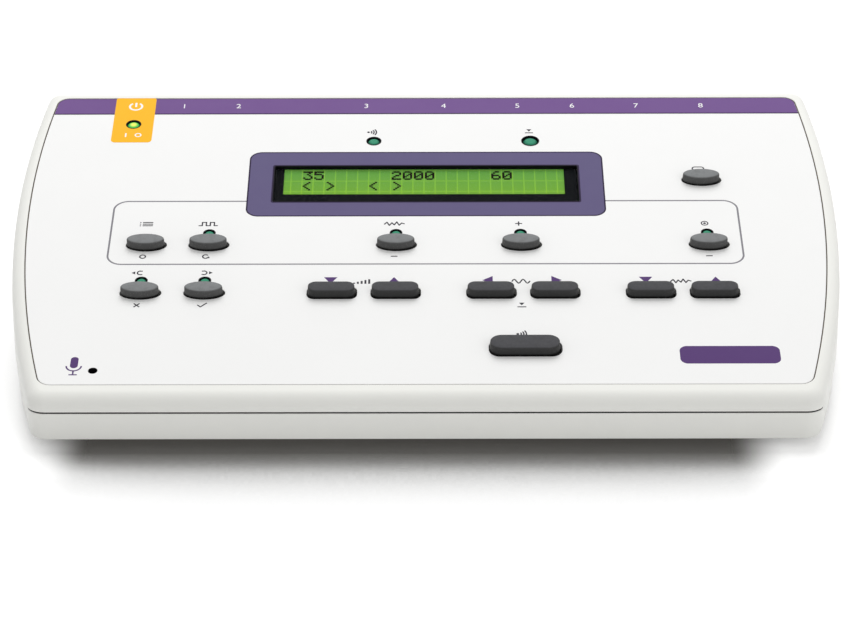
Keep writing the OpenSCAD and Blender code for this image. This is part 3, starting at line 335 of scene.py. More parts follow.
def step(bm, face, rise, wider=0.0):
    """Extrudes a flat face along z by rise and widens it all round. Lengths in mm."""
    lone = all(len(edge.link_faces) == 1 for edge in face.edges)
    made = bmesh.ops.extrude_face_region(bm, geom=[face])["geom"]
    cap = [item for item in made if isinstance(item, bmesh.types.BMFace)][0]
    if not lone and face.is_valid:
        bmesh.ops.delete(bm, geom=[face], context="FACES_ONLY")
    bmesh.ops.translate(bm, verts=cap.verts, vec=(0, 0, rise * MM))
    if wider:
        xs = [vert.co.x for vert in cap.verts]
        ys = [vert.co.y for vert in cap.verts]
        middle = Vector(((min(xs) + max(xs)) / 2, (min(ys) + max(ys)) / 2, 0))
        half_x, half_y = (max(xs) - min(xs)) / 2, (max(ys) - min(ys)) / 2
        bmesh.ops.translate(bm, verts=cap.verts, vec=-middle)
        stretch = ((half_x + wider * MM) / half_x, (half_y + wider * MM) / half_y, 1)
        bmesh.ops.scale(bm, verts=cap.verts, vec=stretch)
        bmesh.ops.translate(bm, verts=cap.verts, vec=middle)
    return cap


def round_over(bm, edges, radius, segments=3):
    """Rounds a list of edges."""
    bmesh.ops.bevel(
        bm, geom=list(edges), offset=radius * MM, offset_type="OFFSET", segments=segments,
        profile=0.5, affect="EDGES", clamp_overlap=False, material=-1)

# %% [markdown]
# A finished mesh becomes an object at the origin, with its place in its vertices. Large flat
# faces next to narrow rounded ones shade badly with plain smooth shading, so each piece gets
# Blender's Weighted Normal modifier, which lets the big faces win.

# %% From mesh to object
def new_object(bm, name, place=None):
    """Object at the origin from a bmesh, after an optional matrix is applied to its vertices."""
    if place is not None:
        bmesh.ops.transform(bm, matrix=place, verts=bm.verts)
    mesh = bpy.data.meshes.new(name)
    bm.to_mesh(mesh)
    bm.free()
    thing = bpy.data.objects.new(name, mesh)
    bpy.context.scene.collection.objects.link(thing)
    return thing


def closed(bm):
    """Merges doubles and turns every face of a closed form outwards."""
    bmesh.ops.remove_doubles(bm, verts=bm.verts, dist=0.0005 * MM)
    bmesh.ops.recalc_face_normals(bm, faces=bm.faces)
    return bm


def combine(thing, other, operation="DIFFERENCE"):
    """Cuts one object with another, or joins them, and deletes the second one."""
    modifier = thing.modifiers.new("shape", "BOOLEAN")
    modifier.operation = operation
    modifier.solver = "EXACT"
    modifier.object = other
    seen = thing.evaluated_get(bpy.context.evaluated_depsgraph_get())
    mesh = bpy.data.meshes.new_from_object(seen)
    thing.modifiers.clear()
    thing.data = mesh
    bpy.data.objects.remove(other)
    return thing


def dress(thing, material, body, stands_for=(), sharp=32):
    """Gives an object its finish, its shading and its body."""
    thing.data.materials.clear()
    thing.data.materials.append(material)
    thing.data.shade_smooth()
    thing.data.set_sharp_from_angle(angle=math.radians(sharp))
    weighted = thing.modifiers.new("shading", "WEIGHTED_NORMAL")
    weighted.keep_sharp = True
    weighted.weight = 80
    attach(thing, body)
    if stands_for:
        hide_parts(*stands_for)
    print(thing.name, "faces:", len(thing.data.polygons))
    return thing

# %% [markdown]
# ## The bowed outline of the case
# Seen from above, the case has a straight front and back, sides that bow out in one long arc,
# and small round corners. A cube is cut across into strips, the strips are bowed by the
# formula of a circle, and the four upright corners are bevelled.

# %% Bowed block
BOW_STEPS = 25


def bowed_block(half_w, bow_r, widest, front, rear, low, high, front_r, rear_r):
    """Block with bowed sides and round upright corners. Metres, with the corner radii in mm."""
    bm = bmesh.new()
    bmesh.ops.create_cube(bm, size=1.0)
    bmesh.ops.scale(bm, verts=bm.verts, vec=(2 * half_w, rear - front, high - low))
    bmesh.ops.translate(bm, verts=bm.verts, vec=(0, (front + rear) / 2, (low + high) / 2))
    for count in range(1, BOW_STEPS):
        y = front + (rear - front) * count / BOW_STEPS
        everything = bm.verts[:] + bm.edges[:] + bm.faces[:]
        bmesh.ops.bisect_plane(bm, geom=everything, plane_co=(0, y, 0), plane_no=(0, 1, 0))
    for vert in bm.verts:
        drawn_in = bow_r - math.sqrt(bow_r ** 2 - (vert.co.y - widest) ** 2)
        vert.co.x *= (half_w - drawn_in) / half_w
    for height in (low, high):
        strips = [f for f in bm.faces if all(abs(v.co.z - height) < 0.01 * MM for v in f.verts)]
        bmesh.ops.dissolve_faces(bm, faces=strips)
    for y, radius in ((front, front_r), (rear, rear_r)):
        corners = [e for e in bm.edges if all(abs(v.co.y - y) < 0.01 * MM for v in e.verts)
                   and abs(e.verts[0].co.z - e.verts[1].co.z) > MM * 0.1]
        round_over(bm, corners, radius, 6)
    return bm


def flat_faces(bm, height):
    """Faces that lie level at a height."""
    return [f for f in bm.faces if all(abs(v.co.z - height) < 0.01 * MM for v in f.verts)]


def edges_of(faces):
    """Edges round a list of faces, each once."""
    return {edge for face in faces for edge in face.edges}

# %% [markdown]
# ## Upper shell
# The upper shell is that block cut off by the plane of the face. Its rim is one bevel: the
# same width on both sides of an edge gives a big radius at the blunt front edge and a small
# one at the sharp rear edge, just as the moulding has. A smaller copy hollows it out.

# %% Wedge under the face plane
SIDE_BOW_R = 0.378
WIDEST_Y = FRONT_Y + 0.104
WALL = 2.4 * MM
RIM_BEVEL, HOLLOW_BEVEL = 4.1, 1.4
FRONT_CORNER, REAR_CORNER = 4.5, 4.0
SEAM_TOP = top_low.z


def wedge(inset, low, drop, rim):
    """Bowed block under the face's plane, drawn in by an inset, with a rounded rim."""
    bm = bowed_block(
        HALF_W - inset, SIDE_BOW_R - inset, WIDEST_Y, FRONT_Y + inset, REAR_Y - inset,
        low, 0.09, FRONT_CORNER - inset / MM, REAR_CORNER - inset / MM)
    everything = bm.verts[:] + bm.edges[:] + bm.faces[:]
    cut = bmesh.ops.bisect_plane(
        bm, geom=everything, plane_co=FACE @ Vector((0, 0, -drop)),
        plane_no=FACE.to_3x3() @ Vector((0, 0, 1)), clear_outer=True)
    edge_loop = [item for item in cut["geom_cut"] if isinstance(item, bmesh.types.BMEdge)]
    lid = bmesh.ops.edgeloop_fill(bm, edges=edge_loop)["faces"]
    round_over(bm, edges_of(lid), rim, 8)
    return bm


def upper_form():
    """Outside of the upper shell, with a softened lower edge."""
    bm = wedge(0.0, SEAM_TOP, 0.0, RIM_BEVEL)
    round_over(bm, edges_of(flat_faces(bm, SEAM_TOP)), 0.3, 2)
    return closed(bm)


case_top = new_object(upper_form(), "case_top")
hollow = new_object(closed(wedge(WALL, SEAM_TOP - 0.01, WALL, HOLLOW_BEVEL)), "hollow")
combine(case_top, hollow)
print("upper shell height in mm:", round(max(v.co.z for v in case_top.data.vertices) / MM, 2))

# %% [markdown]
# ## Cutters for the recess and the holes
# The printed sheet lies in a shallow recess, so its bowed outline is made once and used
# twice, with a hair of clearance in the shell. Keys, lamps and the microphone come through
# holes. Their cutters flare at the sheet's surface, which leaves a fine bevel there.

# %% Places of the keys, lamps and sockets on the face, in mm
KEY_U0, KEY_PITCH = -9.7, 10.12
FUNCTION_ROW, ARROW_ROW, TONE_ROW, TALK_ROW = 77.8, 52.5, 24.4, 113.5
OVAL, LONG, LARGE = (12.3, 5.8, None), (15.0, 5.4, 1.9), (21.8, 7.2, 2.9)
KEYS = {
    "menu": (OVAL, -8, FUNCTION_ROW), "pulse": (OVAL, -6, FUNCTION_ROW),
    "mask": (OVAL, 0, FUNCTION_ROW), "boost": (OVAL, 4, FUNCTION_ROW),
    "bone": (OVAL, 10, FUNCTION_ROW), "left": (OVAL, -8, ARROW_ROW),
    "right": (OVAL, -6, ARROW_ROW), "talk_over": (OVAL, 10, TALK_ROW),
    "level_down": (LONG, -2, ARROW_ROW), "level_up": (LONG, 0, ARROW_ROW),
    "frequency_down": (LONG, 3, ARROW_ROW), "frequency_up": (LONG, 5, ARROW_ROW),
    "masking_down": (LONG, 8, ARROW_ROW), "masking_up": (LONG, 10, ARROW_ROW),
    "present": (LARGE, 4, TONE_ROW),
}
KEY_LAMP_UP, KEY_LAMP_R = 6.4, 1.85


def column(number):
    """Place across the face of a column of the key grid, in mm."""
    return KEY_U0 + number * KEY_PITCH


LAMPS = [(column(KEYS[name][1]), KEYS[name][2] + KEY_LAMP_UP, KEY_LAMP_R)
         for name in ("pulse", "mask", "boost", "bone", "left", "right")]
LAMPS += [(-17.7, 136.3, 2.35), (35.3, 136.3, 2.85)]
POWER_LAMP = (-100.0, 146.5, 2.4)
MICROPHONE = (-102.1, 13.7, 1.45)
WINDOW = (0.0, 111.65, 101.2, 20.1)
KEY_GAP, HOLE_SHIFT = 0.5, 0.2
print("keys:", len(KEYS), "lamps:", len(LAMPS) + 1)

# %% Cutters, drawn flat on the face
def add_cutter(bm, u, v, width, length, corner, bottom, flare):
    """Adds a hole's cutter to bm, from a depth below the face to above it. Lengths in mm."""
    seen = set(bm.verts)
    face = outline(bm, width, length, corner, 64)
    top = SHEET_TOP / MM
    face = step(bm, face, top - flare - bottom)
    face = step(bm, face, flare + 0.05, flare + 0.05)
    step(bm, face, 4.0)
    verts = [vert for vert in bm.verts if vert not in seen]
    bmesh.ops.translate(bm, verts=verts, vec=(u * MM, v * MM, bottom * MM))


def control_cutters(name, bottom, flare):
    """One object that cuts the holes of all keys, all lamps and the microphone."""
    bm = bmesh.new()
    for (width, length, corner), number, row in KEYS.values():
        wide, high = width + 2 * KEY_GAP, length + 2 * KEY_GAP
        rounded = None if corner is None else corner + KEY_GAP
        add_cutter(bm, column(number) + HOLE_SHIFT, row, wide, high, rounded, bottom, flare)
    for u, v, radius in LAMPS + [POWER_LAMP, MICROPHONE]:
        add_cutter(bm, u, v, 2 * radius, 2 * radius, None, bottom, flare)
    return new_object(closed(bm), name, FACE)


def window_cutter(name, bottom, corner, flare):
    """Cutter of the display's window."""
    bm = bmesh.new()
    u, v, width, length = WINDOW
    add_cutter(bm, u, v, width, length, corner, bottom, flare)
    return new_object(closed(bm), name, FACE)


SHEET_SIDE, SHEET_FRONT, SHEET_REAR = 4.6, 7.0, 5.5
SHEET_BOW_R, SHEET_WIDEST, SHEET_CORNER = 401.7, 106.6, 3.2


def sheet_form(margin, low, high):
    """Bowed outline of the printed sheet, grown by a margin. All lengths in mm."""
    corner = SHEET_CORNER + margin
    return bowed_block(
        (HALF_W / MM - SHEET_SIDE + margin) * MM, (SHEET_BOW_R + margin) * MM,
        SHEET_WIDEST * MM, (SHEET_FRONT - margin) * MM, FACE_L - (SHEET_REAR - margin) * MM,
        low * MM, high * MM, corner, corner)


recess = new_object(closed(sheet_form(0.38, -0.6, 3.0)), "recess", FACE)
combine(case_top, recess)
combine(case_top, control_cutters("shell_holes", -6.0, 0.01))
combine(case_top, window_cutter("shell_window", -9.0, 0.5, 0.01))

# %% [markdown]
# ## Cuts in the rear wall
# Each socket comes through the rear wall in its own opening: round for the jacks, square for
# the others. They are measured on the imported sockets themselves.

# %% Rear openings
JACK_NUTS = ("response_nut", "insert_nut", "bone_nut", "left_nut", "right_nut")
BUSH_HOLE_R, SOCKET_GAP, SWITCH_RIM = 4.9 * MM, 0.2 * MM, 1.4 * MM


def add_rod(bm, middle, radius, depth, segments, turn=0.0):
    """Adds a cylinder round its middle, upright unless it is turned about x."""
    verts = bmesh.ops.create_cone(
        bm, cap_ends=True, segments=segments, radius1=radius, radius2=radius, depth=depth)["verts"]
    bmesh.ops.rotate(bm, verts=verts, cent=(0, 0, 0), matrix=Matrix.Rotation(turn, 3, "X"))
    bmesh.ops.translate(bm, verts=verts, vec=middle)


def add_opening(bm, low, high, clear):
    """Adds a box through the rear wall, larger all round than a socket's box."""
    verts = bmesh.ops.create_cube(bm, size=1.0)["verts"]
    size = (high.x - low.x + 2 * clear, 3 * WALL, high.z - low.z + 2 * clear)
    bmesh.ops.scale(bm, verts=verts, vec=size)
    bmesh.ops.translate(bm, verts=verts, vec=wall_place(low, high))


def wall_place(low, high):
    """Middle of the rear wall, behind the middle of a box."""
    return (low.x + high.x) / 2, REAR_Y - WALL / 2, (low.z + high.z) / 2


def rear_cutters():
    """One object that cuts the sockets' openings in the rear wall."""
    bm = bmesh.new()
    for nut in JACK_NUTS:
        add_rod(bm, wall_place(*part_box(nut)), BUSH_HOLE_R, 3 * WALL, 48, math.pi / 2)
    for socket in ("usb_socket", "printer_socket", "power_socket"):
        add_opening(bm, *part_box(socket), SOCKET_GAP)
    return new_object(closed(bm), "rear_cutters")


def switch_cutter():
    """Cutter of the power switch's opening: its housing without the rim outside the wall."""
    bm = bmesh.new()
    add_opening(bm, *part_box("power_switch_body"), -SWITCH_RIM)
    return new_object(closed(bm), "switch_cutter")


combine(case_top, rear_cutters())
combine(case_top, switch_cutter())
dress(case_top, case_white, CASE, ["top_shell"])

# %% [markdown]
# ## Lower shell
# The lower shell is a shallow tray. Its outside leans in a little towards the table, so that
# it leaves the mould, and a thin lip stands up inside the upper shell and shuts the seam.

# %% Tray with its lip
SEAM = 0.5


def lower_form():
    """Tray: bowed block, drafted sides, lip above the seam and a hollow inside."""
    step_in, draft, lip_t, lip_h, clear = 0.2, 0.5, 1.2, 2.0, 0.15
    low_edge, top_edge, floor_top = 0.35, 0.25, 5.4
    low, high = 2.5 * MM, SEAM_TOP - SEAM * MM
    bm = bowed_block(
        HALF_W - step_in * MM, SIDE_BOW_R, WIDEST_Y, FRONT_Y + step_in * MM,
        REAR_Y - step_in * MM, low, high, FRONT_CORNER - step_in, REAR_CORNER - step_in)
    middle_y = (FRONT_Y + REAR_Y) / 2
    for vert in bm.verts:
        lean = draft * MM * (high - vert.co.z) / (high - low)
        vert.co.x -= math.copysign(lean, vert.co.x)
        vert.co.y -= math.copysign(lean, vert.co.y - middle_y)
    round_over(bm, edges_of(flat_faces(bm, low)), low_edge, 3)
    round_over(bm, edges_of(flat_faces(bm, high)), top_edge, 2)
    top = max(flat_faces(bm, high), key=lambda face: face.calc_area())
    lip_in = WALL + (clear - step_in - top_edge) * MM
    bmesh.ops.inset_region(bm, faces=[top], thickness=lip_in, use_even_offset=True)
    top = step(bm, top, lip_h)
    bmesh.ops.inset_region(bm, faces=[top], thickness=lip_t * MM, use_even_offset=True)
    step(bm, top, floor_top - (high / MM + lip_h))
    return closed(bm)


case_bottom = new_object(lower_form(), "case_bottom")

# %% Screw posts, screw wells and seats of the feet
FEET = [(x, y) for x in (-100, 100) for y in (FRONT_Y / MM + 32, REAR_Y / MM - 30)]
CASE_SCREWS = [(side * 113, FRONT_Y / MM + 14) for side in (-1, 1)]
CASE_SCREWS += [(side * 120, REAR_Y / MM - 15) for side in (-1, 1)]


def upright_rods(name, places, radius, low, high):
    """Upright cylinders at a list of places. Lengths in mm."""
    bm = bmesh.new()
    for x, y in places:
        middle = Vector((x, y, (low + high) / 2)) * MM
        add_rod(bm, middle, radius * MM, (high - low) * MM, 40)
    return new_object(bm, name)


for name, places, operation, radius, low, high in (
        ("posts", CASE_SCREWS, "UNION", 4.6, 4.4, 13.35),
        ("wells", CASE_SCREWS, "DIFFERENCE", 3.1, 1.5, 8.35),
        ("shanks", CASE_SCREWS, "DIFFERENCE", 1.6, 8.0, 14.0),
        ("seats", FEET, "DIFFERENCE", 6.1, 1.5, 3.8)):
    combine(case_bottom, upright_rods(name, places, radius, low, high), operation)
dress(case_bottom, case_white, CASE, ["base_shell"])

# %% [markdown]
# The seam between the two shells looks nearly black. A thin black strip, set a little way in
# between them, paints the shade of that gap as a dark line, and hides the pale lip behind it.

# %% Painted shade strip in the seam
SEAM_SHADE_OUT, SEAM_SHADE_IN, SEAM_SHADE_GAP = 0.4, 1.6, 0.01


def seam_form(inset):
    """Flat bowed block about as high as the seam, drawn in and made higher by an inset in mm."""
    higher, drawn_in = inset / 10, inset * MM
    low = SEAM_TOP - (SEAM - SEAM_SHADE_GAP + higher) * MM
    high = SEAM_TOP - (SEAM_SHADE_GAP - higher) * MM
    return bowed_block(
        HALF_W - drawn_in, SIDE_BOW_R - drawn_in, WIDEST_Y, FRONT_Y + drawn_in,
        REAR_Y - drawn_in, low, high, FRONT_CORNER - inset, REAR_CORNER - inset)


seam_shade_black = finish("seam painted shade", (16, 15, 14), (22, 20, 18), 0.8, cell=0.3, grain=0.2)
seam_shade_strip = new_object(closed(seam_form(SEAM_SHADE_OUT)), "seam_shade_strip")
combine(seam_shade_strip, new_object(closed(seam_form(SEAM_SHADE_IN)), "seam_shade_cut"))
dress(seam_shade_strip, seam_shade_black, CASE)

# %% [markdown]
# ## The printed sheet
# The sheet is half a millimetre of polycarbonate, glued into the recess and printed in
# several inks. It is cut like the shell under it, and every ink is a thin layer of its own
# on top of it, as screen printing leaves it.

# %% Sheet
GLUE_TOP = -0.48


def sheet_blank():
    """The sheet before its holes are cut, with a fine bevel round its upper edge."""
    bm = sheet_form(0.0, GLUE_TOP, SHEET_TOP / MM)
    round_over(bm, edges_of(flat_faces(bm, SHEET_TOP)), 0.08, 1)
    return closed(bm)


def cut_controls(thing, flare):
    """Cuts the controls' holes and the window out of a layer on the face."""
    combine(thing, control_cutters("layer_holes", -3.0, flare))
    combine(thing, window_cutter("layer_window", -3.0, 0.5, flare))
    return thing


face_sheet = cut_controls(new_object(sheet_blank(), "face_sheet", FACE), 0.08)
dress(face_sheet, sheet_white, CASE, ["face_overlay"])
# The glue layer reaches into the gap round the sheet, and a bead stands in that gap; their dark
# brown there paints the gap's shade.
face_glue = new_object(closed(sheet_form(0.35, -0.6, GLUE_TOP)), "face_glue", FACE)
dress(cut_controls(face_glue, 0.08), glue_and_gap_shade_brown, CASE, ["face_overlay"])
glue_bead_gap_shade = new_object(closed(sheet_form(0.36, -0.5, -0.24)), "glue_bead_gap_shade", FACE)
combine(glue_bead_gap_shade, new_object(closed(sheet_form(0.02, -0.7, 0.5)), "bead_cut", FACE))
dress(glue_bead_gap_shade, glue_and_gap_shade_brown, CASE)

# %% [markdown]
# ## Drawing with ink
# A print is drawn as flat faces in one mesh: bars, rings, discs and triangles. The whole
# drawing is then extruded by the thickness of the ink. Small pictograms and numbers say what
# each control and each socket does.

# %% Flat shapes
def put(bm, seen, u, v, turn=0.0):
    """Turns and moves what was added to bm since its vertices were noted."""
    verts = [vert for vert in bm.verts if vert not in seen]
    bmesh.ops.rotate(
        bm, verts=verts, cent=(0, 0, 0), matrix=Matrix.Rotation(math.radians(turn), 3, "Z"))
    bmesh.ops.translate(bm, verts=verts, vec=(u * MM, v * MM, 0))


def bar(bm, u, v, width, length, corner=0.0, turn=0.0):
    """Rectangle, with round corners if a radius is given."""
    seen = set(bm.verts)
    outline(bm, width, length, max(corner, 0.005), 32 if corner else 4)
    put(bm, seen, u, v, turn)


def disc(bm, u, v, radius):
    """Round dot."""
    seen = set(bm.verts)
    outline(bm, 2 * radius, 2 * radius, None, 24)
    put(bm, seen, u, v)


def triangle(bm, u, v, width, height, turn=0.0):
    """Triangle with its point up the slope before it is turned."""
    seen = set(bm.verts)
    verts = bmesh.ops.create_circle(bm, cap_ends=True, radius=1.0, segments=3)["verts"]
    points = ((0, height / 2), (-width / 2, -height / 2), (width / 2, -height / 2))
    for vert, (x, y) in zip(verts, points):
        vert.co = (x * MM, y * MM, 0)
    put(bm, seen, u, v, turn)


def arc(bm, u, v, radius, thick, start=0.0, sweep=360.0):
    """Ring, or a part of one, by spinning a short edge about the middle."""
    seen = set(bm.verts)
    inner = bm.verts.new(((radius - thick / 2) * MM, 0, 0))
    outer = bm.verts.new(((radius + thick / 2) * MM, 0, 0))
    edge = bm.edges.new((inner, outer))
    steps = max(6, int(abs(sweep) / 9))
    bmesh.ops.spin(
        bm, geom=[inner, outer, edge], cent=(0, 0, 0), axis=(0, 0, 1),
        angle=math.radians(sweep), steps=steps, use_merge=sweep >= 360.0, use_duplicate=False)
    put(bm, seen, u, v, start)


def stroke(bm, points, thick):
    """Line of straight strokes with round joints through a list of places."""
    for (u0, v0), (u1, v1) in zip(points, points[1:]):
        length = math.hypot(u1 - u0, v1 - v0)
        turn = math.degrees(math.atan2(v1 - v0, u1 - u0))
        bar(bm, (u0 + u1) / 2, (v0 + v1) / 2, length + thick, thick, thick / 2.2, turn)


SHEET = FACE @ Matrix.Translation((0, 0, SHEET_TOP))
INK_SINK = 0.01


def lay_ink(bm, name, ink, level, thick=0.02, cutters=(), place=SHEET, body=CASE):
    """Extrudes a drawing by the ink's thickness, lays it on a plane and cuts it."""
    flat = bm.faces[:]
    made = bmesh.ops.extrude_face_region(bm, geom=flat)["geom"]
    raised = [item for item in made if isinstance(item, bmesh.types.BMVert)]
    bmesh.ops.translate(bm, verts=raised, vec=(0, 0, (thick + INK_SINK) * MM))
    bmesh.ops.translate(bm, verts=bm.verts, vec=(0, 0, (level - INK_SINK) * MM))
    bmesh.ops.recalc_face_normals(bm, faces=bm.faces)
    layer = new_object(bm, name, place)
    for cutter in cutters:
        combine(layer, cutter)
    return dress(layer, INKS[ink], body)

# %% [markdown]
# ## Coloured areas
# The purple band along the rear edge has the outline of the sheet itself, so it is the
# sheet's own form with all but its last centimetre cut away.

# %% Band, display surround, tab and frame line
BAND_V = 152.5
SURROUND, SURROUND_CORNER = (0.0, 111.6, 118.5, 36.6), 4.2
EDGE_LINE, OVERLAP = 0.5, 0.3
WINDOW_DEPTH = 1.3
TAB = (-100.1, 149.3, 13.8, 27.0, 1.5)
FRAME = (-0.1, 84.65, 205.5, 34.9, 5.0, 0.6)


def band_drawing():
    """The sheet's outline, kept only behind the front edge of the band."""
    bm = sheet_form(-0.08, 0.0, 1.0)
    kept = flat_faces(bm, 0.0)
    bmesh.ops.delete(bm, geom=[f for f in bm.faces if f not in kept], context="FACES")
    everything = bm.verts[:] + bm.edges[:] + bm.faces[:]
    bmesh.ops.bisect_plane(
        bm, geom=everything, plane_co=(0, BAND_V * MM, 0), plane_no=(0, 1, 0), clear_inner=True)
    return bm


def ring(bm, u, v, width, length, corner, thick):
    """Line along the inside of a rectangle with round corners."""
    seen = set(bm.verts)
    face = outline(bm, width, length, corner, 64)
    bmesh.ops.inset_region(
        bm, faces=[face], thickness=thick * MM, use_boundary=True, use_even_offset=True)
    bmesh.ops.delete(bm, geom=[face], context="FACES")
    put(bm, seen, u, v)


def frame_line():
    """Thin line round the upper keys."""
    bm = bmesh.new()
    ring(bm, *FRAME)
    return bm


def edge_lines():
    """Dark lines where two screens overlap, round the surround, its window and at the band."""
    bm = band_drawing()
    everything = bm.verts[:] + bm.edges[:] + bm.faces[:]
    bmesh.ops.bisect_plane(
        bm, geom=everything, plane_co=(0, (BAND_V + EDGE_LINE) * MM, 0), plane_no=(0, 1, 0),
        clear_outer=True)
    ring(bm, *SURROUND, SURROUND_CORNER, EDGE_LINE)
    u, v, width, length = WINDOW
    wider = 2 * EDGE_LINE + OVERLAP
    ring(bm, u, v, width + wider, length + wider, 0.8, EDGE_LINE)
    return bm


def window_edge():
    """Black paint on the cut edges of the window, down to the display's frame."""
    bm = bmesh.new()
    u, v, width, length = WINDOW
    ring(bm, u, v, width - 0.02, length - 0.02, 0.49, 0.09)
    return bm


def window_line():
    """Black paint round the window's mouth, over the white of the cut."""
    bm = bmesh.new()
    u, v, width, length = WINDOW
    ring(bm, u, v, width + 0.36, length + 0.36, 0.68, 0.22)
    return bm


def lamp_rings(wider, thick):
    """Thin black ring at each lamp's hole, over the white of the cuts."""
    bm = bmesh.new()
    for u, v, radius in LAMPS + [POWER_LAMP]:
        arc(bm, u, v, radius + wider, thick)
    return bm


def microphone_sleeve():
    """Black lining of the microphone's hole, painted shade of its deep cavity."""
    bm = bmesh.new()
    u, v, radius = MICROPHONE
    arc(bm, u, v, radius - 0.06, 0.1)
    return bm


def single_bar(*size):
    """Drawing that is one bar."""
    bm = bmesh.new()
    bar(bm, *size)
    return bm


def power_lamp_cutter():
    """Cutter for the power lamp's hole in the tab."""
    bm = bmesh.new()
    u, v, radius = POWER_LAMP
    add_cutter(bm, u, v, 2 * radius, 2 * radius, None, -3.0, 0.1)
    return new_object(closed(bm), "tab_hole", FACE)


lay_ink(band_drawing(), "band_print", "band", 0.0)
lay_ink(frame_line(), "frame_line_print", "line", 0.0, 0.012,
        [window_cutter("frame_window", -3.0, 0.5, 0.3)])
lay_ink(single_bar(*SURROUND, SURROUND_CORNER), "surround_print", "purple", 0.0, 0.025,
        [window_cutter("surround_window", -3.0, 0.5, 0.08)])
lay_ink(edge_lines(), "edge_lines_print", "edge", 0.025, 0.015)
lay_ink(window_edge(), "window_edge_paint", "black", -WINDOW_DEPTH, WINDOW_DEPTH + 0.045)
lay_ink(window_line(), "window_line_paint", "black", 0.05, 0.015)
# Painted shade: the microphone's hole is lined black so that it looks like a deep dark cavity.
lay_ink(microphone_sleeve(), "microphone_sleeve", "black", -2.4, 2.37)
lay_ink(single_bar(*TAB), "tab_print", "yellow", 0.0, 0.045, [power_lamp_cutter()])
lay_ink(lamp_rings(0.05, 0.34), "lamp_rings_paint", "black", 0.05, 0.015)
# Black linings of the lamps' holes, painted shade over the pale walls above the domes.
lay_ink(lamp_rings(-0.055, 0.11), "lamp_hole_shade_sleeves", "black", -2.2, 2.24)

# %% [markdown]
# ## Purple signs
# Six triangles say which way an arrow key goes, and a microphone sign stands by its hole.
# A plain bar of the same colour fills the corner on the right.

# %% Arrows, microphone sign and corner bar
ARROW_SIGNS = ((-30.3, 180), (-10.1, 0), (19.7, 90), (41.7, -90), (70.1, 180), (92.4, 0))
ARROW_SIGN_V, MIC_SIGN_U = 58.9, -108.1
CORNER_BAR = (94.0, 21.0, 31.0, 8.6, 2.4)


def purple_signs():
    """All small purple shapes."""
    bm = bmesh.new()
    for u, turn in ARROW_SIGNS:
        triangle(bm, u, ARROW_SIGN_V, 4.3, 3.3, turn)
    bar(bm, MIC_SIGN_U, 17.6, 2.4, 5.4, 1.19)
    arc(bm, MIC_SIGN_U, 15.9, 2.3, 0.5, 180, 180)
    bar(bm, MIC_SIGN_U, 12.8, 0.5, 1.6)
    bar(bm, MIC_SIGN_U, 11.7, 2.6, 0.5, 0.2)
    bar(bm, *CORNER_BAR)
    return bm


lay_ink(purple_signs(), "purple_signs_print", "sign", 0.0)

# %% [markdown]
# ## White numbers on the band
# Each socket behind the band has a number, in Blender's own plain font. Text is turned into
# a mesh before its place is applied.

# %% Numbers as meshes
PORT_NAMES = ("response_nut", "power_socket", "usb_socket", "printer_socket", "insert_nut",
              "bone_nut", "left_nut", "right_nut")
PORTS = [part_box(name) for name in PORT_NAMES]
PORT_X = [(low.x + high.x) / 2 / MM for low, high in PORTS]
DIGIT_SHARE, BAND_NUMBER_V, SWITCH_SIGN_V = 0.72, 157.3, 140.1


def add_number(bm, text, u, v, height):
    """Adds a number, centred at a place, as flat faces."""
    curve = bpy.data.curves.new("number", "FONT")
    curve.body = text
    curve.size = height / DIGIT_SHARE * MM
    curve.align_x = "CENTER"
    curve.align_y = "CENTER"
    helper = bpy.data.objects.new("number", curve)
    bpy.context.scene.collection.objects.link(helper)
    seen = helper.evaluated_get(bpy.context.evaluated_depsgraph_get())
    mesh = bpy.data.meshes.new_from_object(seen)
    known = set(bm.verts)
    bm.from_mesh(mesh)
    put(bm, known, u, v)
    bpy.data.objects.remove(helper)


def white_signs():
    """Power sign on the tab, its two switch marks and the sockets' numbers."""
    bm = bmesh.new()
    u = POWER_LAMP[0]
    arc(bm, u, BAND_NUMBER_V, 2.1, 0.7, 125, 290)
    bar(bm, u, BAND_NUMBER_V + 1.0, 0.7, 2.6, 0.25)
    bar(bm, u - 2.2, SWITCH_SIGN_V, 0.5, 2.3, 0.15)
    arc(bm, u + 2.0, SWITCH_SIGN_V, 0.95, 0.45)
    for number, x in enumerate(PORT_X, start=1):
        add_number(bm, str(number), x, BAND_NUMBER_V, 2.6)
    return bm


lay_ink(white_signs(), "white_signs_print", "white", 0.045)
print("numbered sockets at x in mm:", [round(x, 1) for x in PORT_X])

# %% [markdown]
# ## Grey pictograms
# Every key has a small pictogram beside it. They are made from the same bars, rings and
# dots, each in a space about two millimetres high.

# %% Pictograms above the keys
INK_LINE = 0.46


def sign_list(bm, u, v):
    """Three rows of a list, each with its dot."""
    for row in (-0.9, 0.0, 0.9):
        bar(bm, u + 0.5, v + row, 3.4, INK_LINE, 0.15)
        disc(bm, u - 1.9, v + row, 0.24)


def sign_square_wave(bm, u, v):
    """Square wave."""
    points = [(-3, -0.9), (-2, -0.9), (-2, 0.9), (-0.7, 0.9), (-0.7, -0.9), (0.6, -0.9),
              (0.6, 0.9), (1.9, 0.9), (1.9, -0.9), (2.9, -0.9)]
    stroke(bm, [(u + x, v + y) for x, y in points], INK_LINE)


def sign_zigzag(bm, u, v):
    """Uneven wave, as of noise."""
    heights = (-0.2, 0.8, -0.9, 0.5, -0.6, 1.0, -0.8, 0.4, 0.0)
    stroke(bm, [(u - 3.2 + 0.8 * i, v + y) for i, y in enumerate(heights)], INK_LINE)


def sign_rising_bars(bm, u, v):
    """Five bars that grow taller."""
    for i in range(5):
        tall = 0.6 + 0.45 * i
        bar(bm, u - 2.4 + 1.2 * i, v - 1.2 + tall / 2, 0.65, tall, 0.12)


